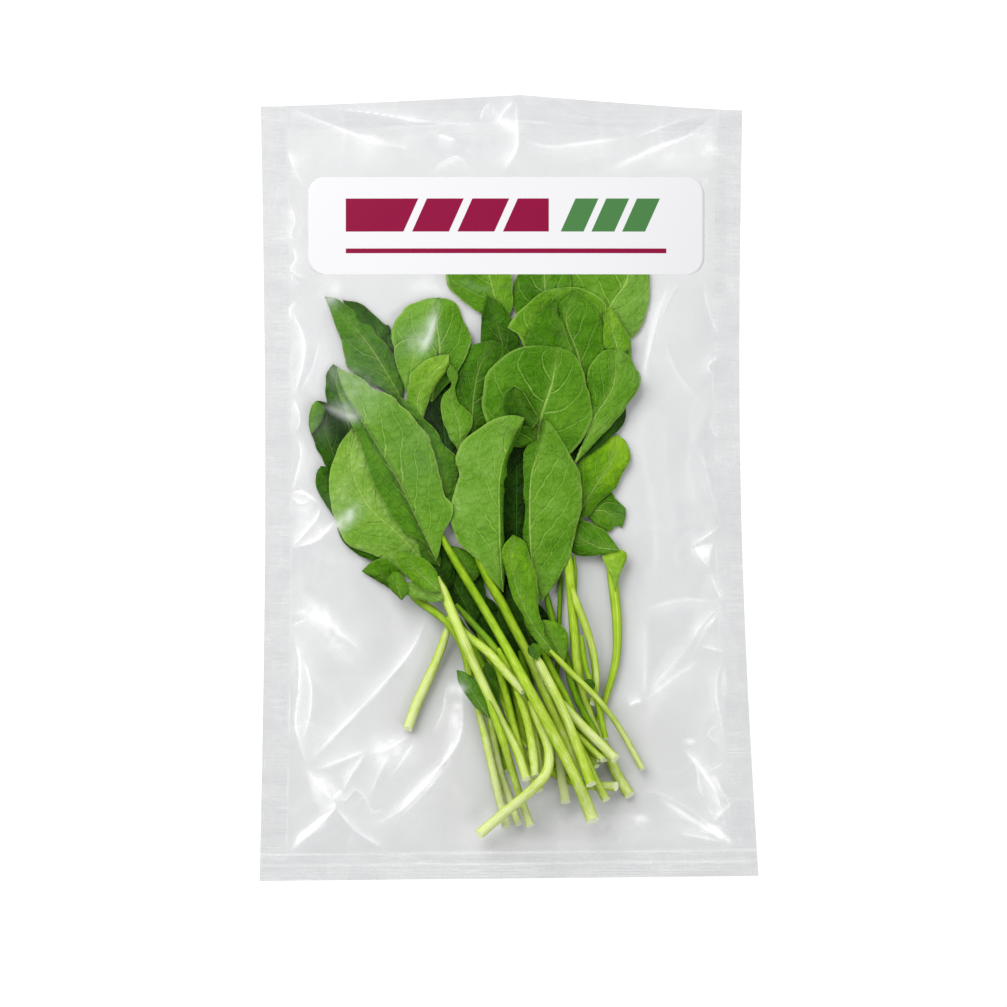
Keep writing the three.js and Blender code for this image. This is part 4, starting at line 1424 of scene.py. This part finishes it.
def leaf_finish(settings):
    """Fresh green leaf: pale midrib and side veins, a net of fine ones with pillows between, painted light
    on the pillows and painted shade at the veins' feet and in the fold by the midrib.
    """
    paint = Paint("leaf_blade")
    place = paint.place()
    along = paint.field("along")
    across = paint.field("across")
    tone = paint.field("tone")
    lime = paint.field("lime")
    veined = paint.field("veined")
    wander = paint.noise(place, 8.0, 2.0) - 0.5
    side = abs(across)
    right = across.ease(-0.001, 0.001)
    start = along - side * VEIN_SLANT - side * side * VEIN_BEND + wander * 0.09
    turns = start * paint.field("veins") + right * 0.5
    from_vein = abs((turns + 0.5).fraction() - 0.5)
    broad = paint.noise(place, 15.0, 1.0)
    mottle = paint.noise(place, 5.0, 2.0)
    fine = paint.noise(place, 0.9, 1.0)
    fading = (1 - side * 0.6) * side.ease(1.0, 0.85) * (0.5 + mottle * 0.8) * veined
    side_vein = from_vein.ease(0.05, 0.014) * fading
    vein_foot = from_vein.ease(0.2, 0.02) * fading
    from_rib = side * paint.field("half_width") + along * 0.3
    rib_size = paint.field("half_width") * 0.022 + 0.26
    midrib = (from_rib / rib_size).ease(1.3, 0.55) * along.ease(1.02, 0.75) * veined
    # Painted shade in the fold also dims the midrib.
    midrib = midrib * (1 - paint.field("groove") * 1.6)
    rib_halo = from_rib.ease(3.0, 0.5) * 0.3
    warped = paint.node("VectorMath", {"operation": "ADD"}, {0: place, 1: paint.drift(place, 6.0, 1.6)})
    net = paint.cell_edges(warped, NET_CELL)
    net_line = net.ease(0.075, 0.015) * (0.3 + fine * 0.8)
    pillow = net.ease(0.0, 0.4)
    small = paint.cell_edges(warped, SMALL_CELL)
    shade = tone + (broad - 0.5) * 0.26 + (mottle - 0.5) * 0.24 + (fine - 0.5) * 0.10
    # Painted light on the pillows' middles and painted shade at the veins' feet.
    shade = shade + pillow * 0.08 - vein_foot * 0.09 + small.ease(0.0, 0.3) * 0.04 - 0.06
    # Painted shade in the fold beside the midrib.
    into_fold = from_rib.ease(3.6, 0.2) * across.ease(0.1, -0.02)
    shade = shade - into_fold * paint.field("groove")
    green = paint.node("ValToRGB", {"stops": LEAF_GREENS}, {0: shade})
    fresh = paint.node("ValToRGB", {"stops": LIME_GREENS}, {0: shade})
    lit = paint.blend((lime * (0.6 + mottle * 0.8)).least(1.0), green, fresh)
    # Pale rim: a paler margin together with a painted highlight along the edge.
    rim = side.ease(0.92, 0.985) * paint.field("rim")
    vein_share = (midrib * 0.76).most(side_vein * 0.70).most(rib_halo * 0.4).most(rim) + net_line * 0.20
    vein = paint.blend(tone.ease(0.0, 0.6), DARK_VEIN, (*settings.vein_colour, 1))
    colour = paint.blend(vein_share.least(1.0), lit, vein)
    bulge = pillow * 0.20 + fine * 0.04 + paint.noise(place, 3.0, 1.0) * 0.30 + mottle * 0.8
    relief = bulge - vein_foot * 0.12 - side_vein * 0.10 - midrib * 0.25
    normal = paint.bump(relief, 1.0)
    roughness = 0.40 + mottle * 0.2
    values = {"Base Color": colour, "Roughness": roughness, "Specular IOR Level": 0.05, "Normal": normal}
    return paint.finish(paint.node("BsdfPrincipled", inputs=values))


def stalk_finish():
    """Pale green stalk with lengthwise ribs, painted shade on its flanks, and paler towards its cut end."""
    paint = Paint("leaf_stalk")
    place = paint.place()
    tone = paint.field("tone")
    around = paint.field("around")
    along = paint.field("along")
    end = paint.field("end")
    streak_place = paint.node("CombineXYZ", inputs={0: around * 6.0, 1: along * 0.04 + tone * 40.0})
    streaks = paint.noise(streak_place, 1.0, 4.0, 0.65)
    mottle = paint.noise(place, 5.0, 2.0)
    # Painted shade on the stalk's flanks, darkest at its sides.
    painted_flank_shade = abs(around * (2 / math.pi) - 1)
    shade = tone + (streaks - 0.5) * 1.0 + (mottle - 0.5) * 0.25 - painted_flank_shade * painted_flank_shade * 0.34 + 0.02
    green = paint.node("ValToRGB", {"stops": STALK_GREENS}, {0: shade})
    colour = paint.blend(end, green, CUT_END)
    normal = paint.bump(streaks * 0.5 + mottle * 0.3, 0.45)
    roughness = 0.34 + streaks * 0.15
    values = {"Base Color": colour, "Roughness": roughness, "Specular IOR Level": 0.16, "Normal": normal}
    return paint.finish(paint.node("BsdfPrincipled", inputs=values))


PRINT_MIDDLE = 4.0  # the bars' and blocks' height over the label's middle, in millimetres
PRINT_HALF = 6.2  # half their height
PRINT_SLANT = 0.45
BAR_CUTS = (-34.0, -17.0, 0.0)
BLOCKS = (27.5, 39.0, 50.5)
PRINT_EDGE = 0.05


def slanted_box(x, y, middle, half, slant):
    """1 inside a box whose sides lean, and 0 outside it."""
    aside = abs(x - middle[0] - (y - middle[1]) * slant)
    ahead = abs(y - middle[1])
    inside = aside.ease(half[0] + PRINT_EDGE, half[0] - PRINT_EDGE)
    return inside * ahead.ease(half[1] + PRINT_EDGE, half[1] - PRINT_EDGE)


def label_finish(settings):
    """Smooth white label with plain printed bars and slanted blocks."""
    paint = Paint("label_stock")
    place = paint.place()
    x, y, z = paint.parts(place)
    x = x - LABEL["x"]
    y = y - LABEL["y"]
    bar = slanted_box(x, y, (-22.0, PRINT_MIDDLE), (38.0, PRINT_HALF), 0.0)
    for middle in BAR_CUTS:
        bar = bar * (1 - slanted_box(x, y, (middle, PRINT_MIDDLE), (1.6, 7.0), PRINT_SLANT))
    rule = slanted_box(x, y, (0.0, -9.4), (60.0, 0.9), 0.0)
    blocks = 0.0
    for middle in BLOCKS:
        block = slanted_box(x, y, (middle, PRINT_MIDDLE), (4.3, PRINT_HALF), PRINT_SLANT)
        blocks = block.most(blocks)
    paper = (*settings.paper, 1)
    first = paint.blend(bar.most(rule), paper, (*settings.first_ink, 1))
    colour = paint.blend(blocks, first, (*settings.second_ink, 1))
    tooth = paint.noise(place, 0.5, 2.0)
    values = {
        "Base Color": colour,
        "Roughness": 0.38 + tooth * 0.08,
        "Specular IOR Level": 0.1,
        "Normal": paint.bump(tooth, 0.01),
    }
    return paint.finish(paint.node("BsdfPrincipled", inputs=values))


def floor_finish():
    """Plain pale floor."""
    paint = Paint("pale_floor")
    return paint.finish(paint.node("BsdfDiffuse", inputs={"Color": (0.65, 0.65, 0.65, 1)}))


# ------------------------------------------------------------------ operators


HEAP = Heap()
LEAF_FIELDS = ("along", "across", "tone", "lime", "veins", "half_width", "veined", "rim", "groove")
STALK_FIELDS = ("along", "around", "tone", "end")


class OBJECT_OT_pouch_bunch(bpy.types.Operator):
    """Lays the leaves and stalks of the bunch, from the lowest"""

    bl_idname = "object.pouch_bunch"
    bl_label = "Leaves and Stalks"
    bl_options = {"REGISTER", "UNDO"}

    def execute(self, context):
        leaf_settings = context.scene.pouch_leaf
        stalk_settings = context.scene.pouch_stalk
        leaves, stalks = bmesh.new(), bmesh.new()
        leaf_layers = {name: leaves.verts.layers.float.new(name) for name in LEAF_FIELDS}
        stalk_layers = {name: stalks.verts.layers.float.new(name) for name in STALK_FIELDS}
        for thing in BUNCH:
            if isinstance(thing, Leaf):
                self.add_leaf(leaves, leaf_layers, thing, leaf_settings.thickness / MM)
            else:
                self.add_stalk(stalks, stalk_layers, thing, stalk_settings.flatness)
        self.show(leaves, "leaves", leaf_finish(leaf_settings), "leaf", leaf_settings.thickness)
        self.show(stalks, "stalks", stalk_finish(), "stalk", None)
        return {"FINISHED"}

    def add_leaf(self, bm, layers, leaf, thickness):
        x, y, z, along, across, veins = leaf_sheet(leaf, HEAP)
        half_width = np.hypot(x[:, -1] - x[:, 0], y[:, -1] - y[:, 0]) / 2
        lay_sheet(HEAP, x, y, z, thickness)
        rows, columns = x.shape[0] - 1, x.shape[1] - 1
        made = bmesh.ops.create_grid(bm, x_segments=columns, y_segments=rows, size=0.5)
        # The tone holds the painted light and shade of each half as well as the leaf's own colour.
        tone = mix(leaf.tone[0], leaf.tone[1], ease(across, -0.12, 0.12)) + leaf.tip_tone * (along - 0.5)
        lime = leaf.lime * (0.4 + 1.2 * along)
        for vert in made["verts"]:
            i = round((vert.co.y + 0.5) * rows)
            j = round((vert.co.x + 0.5) * columns)
            vert.co = Vector((x[i, j], y[i, j], z[i, j])) * MM
            own = (along[i, j], across[i, j], tone[i, j], lime[i, j], veins, half_width[i])
            for name, value in zip(LEAF_FIELDS, (*own, leaf.veined, leaf.rim, leaf.groove)):
                vert[layers[name]] = value

    def add_stalk(self, bm, layers, stalk, flatness):
        x, y, z, radius, share = stalk_line(stalk, HEAP, flatness)
        lay_stalk(HEAP, x, y, z, radius, flatness)
        places = np.column_stack((x, y, z))
        ahead = np.gradient(places, axis=0)
        ahead = ahead / np.linalg.norm(ahead, axis=1, keepdims=True)
        aside = np.cross(ahead, (0, 0, 1))
        aside = aside / np.linalg.norm(aside, axis=1, keepdims=True)
        above = np.cross(aside, ahead)
        length = len(x) * STALK_STEP
        ring = bmesh.ops.create_circle(bm, segments=STALK_SIDES, radius=1, cap_ends=False)["verts"]
        turns = np.linspace(0, 2 * np.pi, STALK_SIDES, endpoint=False)
        edges = list({edge for vert in ring for edge in vert.link_edges})
        for step in range(len(x)):
            if step:
                made = bmesh.ops.extrude_edge_only(bm, edges=edges)["geom"]
                edges = [part for part in made if isinstance(part, bmesh.types.BMEdge)]
                new = [part for part in made if isinstance(part, bmesh.types.BMVert)]
                ring = self.in_order(ring, new)
                edges = [edge for edge in edges if all(vert in new for vert in edge.verts)]
            slant = STALK_SLANT * radius[step] if step == len(x) - 1 else 0.0
            for vert, turn in zip(ring, turns):
                rib = 1 + 0.05 * math.cos(3 * turn + 0.6)
                size = radius[step] * rib
                offset = aside[step] * math.cos(turn) * size
                offset = offset + above[step] * math.sin(turn) * size * flatness
                offset = offset - ahead[step] * slant * (1 + math.sin(turn))
                vert.co = Vector(places[step] + offset) * MM
                vert[layers["along"]] = share[step] * length
                vert[layers["around"]] = abs(turn - math.pi)
                vert[layers["tone"]] = mix(stalk.tone[0], stalk.tone[1], share[step] ** 1.3)
                vert[layers["end"]] = 0.0
            if step == 0:
                first = list(ring)
        self.cap(bm, layers, first, False)
        self.cap(bm, layers, ring, True)

    def in_order(self, old, new):
        """The new ring's vertices in the order of the old ring's."""
        new = set(new)
        neighbours = [[edge.other_vert(vert) for edge in vert.link_edges] for vert in old]
        return [next(vert for vert in around if vert in new) for around in neighbours]

    def cap(self, bm, layers, ring, pale):
        """Closes a stalk's end with a face set in a little."""
        face = bm.faces.new(ring)
        bmesh.ops.inset_region(bm, faces=[face], thickness=0.12 * MM, depth=0.0)
        if pale:
            for vert in face.verts:
                vert[layers["end"]] = 1.0

    def show(self, bm, name, material, slot, thickness):
        if thickness:
            bmesh.ops.remove_doubles(bm, verts=bm.verts, dist=0.00002)
        bmesh.ops.recalc_face_normals(bm, faces=bm.faces)
        mesh = bpy.data.meshes.new(name)
        bm.to_mesh(mesh)
        bm.free()
        piece = add_piece(name, mesh, [material], "pouch")
        if thickness:
            wall = piece.modifiers.new("blade", "SOLIDIFY")
            wall.thickness = thickness
            wall.offset = 0
        return piece


# The back film's white is painted light: soft patches, brighter towards the top.
BACK_PAINTED_LIGHT = 0.08  # how white the back film is at most
FRONT_STRIPS = ("film_front_bottom", "film_front_middle", "film_front_top")
BARE_FILM = (0.8, 2.6)  # heights of the heap between which the film no longer lies over bare table
WELD_RIDGES = ((0.2, 0.30), (2.6, -0.16), (4.4, 0.26), (5.6, -0.10))  # depth in the weld, and how white
SEAL_LINES = ((124.5, 0.13), (134.5, 0.10))  # photo row of a line along the top seal, and how grey


def set_weld(mesh):
    """Gives the faces in the welded bands the second material, except along the smooth top seal."""
    middles = np.empty(3 * len(mesh.polygons))
    mesh.polygons.foreach_get("center", middles)
    x, y, z = middles.reshape(-1, 3).T / MM
    left, right, bottom, top = FILM.inside_welds(*FILM.shares(x, y))
    threaded = np.minimum.reduce((left, right, bottom)) < 0
    mesh.polygons.foreach_set("material_index", threaded.astype(int))


def weld_marks(x, y, inside, glow, shade):
    """Adds the white seam inside the welds and the lines that run along the bottom and the top."""
    between_sides = ease(inside[0], -0.2, 0.2) * ease(inside[1], -0.2, 0.2)
    lines = unevenness(x, y * 14, 14, 47) + unevenness(x, y * 9, 30, 48)
    shade = shade + ease(inside[3], 0.4, -0.4) * between_sides * (0.12 + 0.05 * lines)
    for row, share in SEAL_LINES:
        from_line = y - on_table([(0, row)])[0][1] + 0.1 * unevenness(x, x, 50, 49)
        shade = shade + share * np.exp(-((from_line / 0.35) ** 2)) * between_sides
    seam = np.exp(-(((np.minimum.reduce(inside) - 0.3) / 0.3) ** 2))
    glow = np.maximum(glow, seam * (0.14 + 0.20 * unevenness(x, y, 6, 43)))
    wander = 0.5 * unevenness(x, y, 40, 46)
    for depth, share in WELD_RIDGES:
        ridge = np.exp(-(((inside[2] + depth + wander) / 0.42) ** 2)) * share
        glow = np.maximum(glow, ridge)
        shade = np.maximum(shade, -ridge)
    return glow, shade


def front_film(s, t, clearance):
    """Height of the front film over the contents, and how white and how grey it is painted: mostly painted
    highlights and painted shade.
    """
    x, y = FILM.place(s, t)
    inside = FILM.inside_welds(s, t)
    nearest = np.minimum.reduce(inside)
    contents = HEAP.sampled(blurred(spread(HEAP.heights, 4), 14), x, y)
    z = np.maximum(FILM.front(s, t), np.where(nearest > 2, contents + clearance, 0))
    away = FILM.away_from_label(x, y)
    glow, shade, painted_lit_side, grey, lift = crease_fields(x, y)
    patches = glint_field(x, y) + facet_field(x, y)
    light, dark = crumple(x, y, nearest)
    bare = 1 - ease(contents, *BARE_FILM)
    on_weld = ease(nearest, 0, -0.3)
    # Painted light and painted shade, away from the bunch.
    glow = glow + np.maximum(patches, 0) + (painted_lit_side + light) * bare * mix(1, 0.5, on_weld)
    shade = shade + np.maximum(-patches, 0) + (grey + dark) * bare
    wrinkles = 0.30 * unevenness(x, y, 9, 41) + 0.12 * unevenness(x, y, 4, 42)
    near_weld = np.exp(-np.maximum(nearest, 0) / 16)
    z = z + (lift + wrinkles * (0.4 + near_weld)) * np.clip(nearest / 3, 0, 1) * away
    glow, shade = weld_marks(x, y, inside, glow, shade)
    return z, glow * (0.25 + 0.75 * away), shade * away


class OBJECT_OT_pouch_film(bpy.types.Operator):
    """Makes the front and back film with their welds, creases, and painted glints and shade"""

    bl_idname = "object.pouch_film"
    bl_label = "Film"
    bl_options = {"REGISTER", "UNDO"}

    def execute(self, context):
        settings = context.scene.pouch_film
        clear, roughness = settings.light_passed, settings.gloss_roughness
        welded = film_finish("welded_film", clear - WELD_LOSS, roughness, True)
        front = film_finish("front_film", clear, roughness, False)
        back = film_finish("back_film", clear - BACK_LOSS, roughness, False)
        self.add_front([front, welded], settings.clearance / MM)
        self.add_back([back, welded])
        return {"FINISHED"}

    def add_front(self, films, clearance):
        """Makes the front film in three strips, because one mesh would have too many faces."""
        mean_width = (OUTLINE["bottom_width"] + OUTLINE["top_width"]) / 2
        mean_height = (OUTLINE["left_height"] + OUTLINE["right_height"]) / 2
        side, near = Run(WELD["side"], 14), Run(23, 54)
        across = grid_lines([side, near, Run(0, 210), near, side], mean_width)
        bottom, top = Run(WELD["bottom"], 17), Run(WELD["top"], 16)
        along = grid_lines([bottom, Run(20, 44), Run(0, 400), Run(26, 56), top], mean_height)
        cuts = np.linspace(0, len(along) - 1, len(FRONT_STRIPS) + 1).astype(int)
        for name, first, last in zip(FRONT_STRIPS, cuts, cuts[1:]):
            mesh, column, row = grid_mesh(name, len(across) - 1, last - first)
            s, t = across[column], along[first + row]
            x, y = FILM.place(s, t)
            z, glow, shade = front_film(s, t, clearance)
            set_places(mesh, x, y, z)
            # The first field carries the painted highlights, the shade field the painted shade.
            set_field(mesh, "crease", glow)
            set_field(mesh, "shade", shade)
            set_weld(mesh)
            self.show(name, mesh, films)

    def add_back(self, films):
        columns, rows = 110, 170
        mesh, column, row = grid_mesh("film_back", columns, rows)
        s, t = column / columns, row / rows
        x, y = FILM.place(s, t)
        nearest = np.minimum.reduce(FILM.inside_welds(s, t))
        ripples = 0.12 * (1 + unevenness(x, y, 11, 31)) * ease(nearest, 0, 6)
        set_places(mesh, x, y, FILM.back(s, t) + ripples)
        mesh.flip_normals()
        # Painted light on the back film, brighter towards the top.
        painted_light_patches = 0.5 + 0.5 * unevenness(x, y, 17, 44) + 0.35 * unevenness(x, y, 6, 45)
        upper = ease(y, 0, 120)
        set_field(mesh, "crease", (painted_light_patches + upper * 0.35) * BACK_PAINTED_LIGHT * ease(nearest, 0, 5))
        set_field(mesh, "shade", np.zeros(len(x)))
        set_weld(mesh)
        self.show("film_back", mesh, films)

    def show(self, name, mesh, films):
        """Adds a film that neither throws a shadow nor dims the light inside."""
        piece = add_piece(name, mesh, films, "pouch")
        piece.visible_shadow = False
        piece.visible_diffuse = False


class OBJECT_OT_pouch_label(bpy.types.Operator):
    """Sticks the label to the front film"""

    bl_idname = "object.pouch_label"
    bl_label = "Label"
    bl_options = {"REGISTER", "UNDO"}

    def execute(self, context):
        settings = context.scene.pouch_label
        columns, rows = 120, 40
        mesh, column, row = grid_mesh("label", columns, rows)
        radius = LABEL["corner_radius"]
        from_middle = -np.cos(np.pi * row / rows) * LABEL["height"] / 2
        into_corner = np.clip(np.abs(from_middle) - (LABEL["height"] / 2 - radius), 0, radius)
        drawn_in = radius - np.sqrt(np.maximum(radius**2 - into_corner**2, 0))
        from_centre = (2 * column / columns - 1) * (LABEL["width"] / 2 - drawn_in)
        x, y = LABEL["x"] + from_centre, LABEL["y"] + from_middle
        s, t = FILM.shares(x, y)
        film = front_film(s, t, context.scene.pouch_film.clearance / MM)[0]
        set_places(mesh, x, y, film + 0.08)
        piece = add_piece("label_print", mesh, [label_finish(settings)], "label")
        wall = piece.modifiers.new("stock", "SOLIDIFY")
        wall.thickness = settings.thickness
        wall.offset = 1
        piece.visible_shadow = False
        piece.visible_diffuse = False
        return {"FINISHED"}


class SoftBox(NamedTuple):
    """A flat lamp: its direction and lean in degrees, its size in metres and its share of the light."""

    name: str
    direction: float
    lean: float
    width: float
    height: float
    share: float


SOFT_BOXES = [
    SoftBox("key", 125, 46, 1.4, 1.0, 1.0),
    SoftBox("fill", 305, 50, 1.0, 0.7, 0.5),
    SoftBox("left_strip", 180, 64, 1.2, 0.1, 2.0),
    SoftBox("right_strip", 10, 62, 1.2, 0.1, 2.0),
]
LAMP_DISTANCE = 1.5


class SCENE_OT_pouch_stage(bpy.types.Operator):
    """Adds the floor, the light and the camera"""

    bl_idname = "scene.pouch_stage"
    bl_label = "Stage"
    bl_options = {"REGISTER", "UNDO"}

    def execute(self, context):
        settings = context.scene.pouch_stage
        self.add_floor()
        self.add_room(context.scene, settings.room_light)
        for box in SOFT_BOXES:
            self.add_lamp(context.scene, box, settings.box_light)
        self.add_camera(context.scene, settings)
        context.scene.view_settings.view_transform = "Standard"
        context.scene.cycles.max_bounces = 4
        context.scene.cycles.diffuse_bounces = 2
        context.scene.cycles.glossy_bounces = 2
        context.scene.cycles.caustics_reflective = False
        context.scene.cycles.transparent_max_bounces = 20
        context.scene.cycles.use_denoising = True
        return {"FINISHED"}

    def add_floor(self):
        mesh, column, row = grid_mesh("floor", 8, 8)
        half = 2500.0
        set_places(mesh, (column / 4 - 1) * half, (row / 4 - 1) * half, np.full(len(column), -0.3))
        mesh.materials.append(floor_finish())
        floor = bpy.data.objects.new("floor", mesh)
        bpy.context.scene.collection.objects.link(floor)

    def add_room(self, scene, brightness):
        world = bpy.data.worlds.new("room")
        world.use_nodes = True
        background = world.node_tree.nodes["Background"]
        background.inputs["Color"].default_value = (0.97, 0.985, 1.0, 1)
        background.inputs["Strength"].default_value = brightness
        scene.world = world

    def add_lamp(self, scene, box, brightness):
        data = bpy.data.lights.new(box.name, "AREA")
        data.shape = "RECTANGLE"
        data.size = box.width
        data.size_y = box.height
        data.energy = brightness * box.share * math.pi * box.width * box.height
        lamp = bpy.data.objects.new(box.name, data)
        direction, lean = math.radians(box.direction), math.radians(box.lean)
        flat_reach = math.sin(lean)
        away = Vector((math.cos(direction) * flat_reach, math.sin(direction) * flat_reach, math.cos(lean)))
        lamp.location = away * LAMP_DISTANCE
        lamp.rotation_euler = away.to_track_quat("Z", "Y").to_euler()
        lamp.visible_camera = False
        scene.collection.objects.link(lamp)

    def add_camera(self, scene, settings):
        data = bpy.data.cameras.new("camera")
        data.lens = settings.camera_lens
        camera = bpy.data.objects.new("camera", data)
        distance = settings.camera_reach * data.lens / data.sensor_width
        half = PHOTO_SIDE / 2
        aim = on_table([(half, half)])[0] * MM
        camera.location = (aim[0], aim[1], distance)
        data.clip_start = 0.05
        data.clip_end = 20
        scene.collection.objects.link(camera)
        scene.camera = camera


class VIEW3D_PT_pouch(bpy.types.Panel):
    """Lists the pouch's pieces and their settings"""

    bl_label = "Leaf Pouch"
    bl_idname = "VIEW3D_PT_pouch"
    bl_space_type = "VIEW_3D"
    bl_region_type = "UI"
    bl_category = "Leaf Pouch"

    def draw(self, context):
        for operator in OPERATORS:
            self.layout.operator(operator.bl_idname)
        for name in SETTINGS:
            box = self.layout.box()
            group = getattr(context.scene, name)
            for key in group.__annotations__:
                box.prop(group, key)


SETTINGS = {
    "pouch_film": PouchFilmSettings,
    "pouch_leaf": PouchLeafSettings,
    "pouch_stalk": PouchStalkSettings,
    "pouch_label": PouchLabelSettings,
    "pouch_stage": PouchStageSettings,
}
OPERATORS = [OBJECT_OT_pouch_bunch, OBJECT_OT_pouch_film, OBJECT_OT_pouch_label, SCENE_OT_pouch_stage]
CLASSES = [*SETTINGS.values(), *OPERATORS, VIEW3D_PT_pouch]


def register():
    for kind in CLASSES:
        bpy.utils.register_class(kind)
    for name, group in SETTINGS.items():
        setattr(bpy.types.Scene, name, bpy.props.PointerProperty(type=group))


def unregister():
    for name in SETTINGS:
        delattr(bpy.types.Scene, name)
    for kind in reversed(CLASSES):
        bpy.utils.unregister_class(kind)


def main():
    register()
    bpy.ops.object.pouch_bunch()
    bpy.ops.object.pouch_film()
    bpy.ops.object.pouch_label()
    bpy.ops.scene.pouch_stage()


if __name__ == "__main__":
    main()
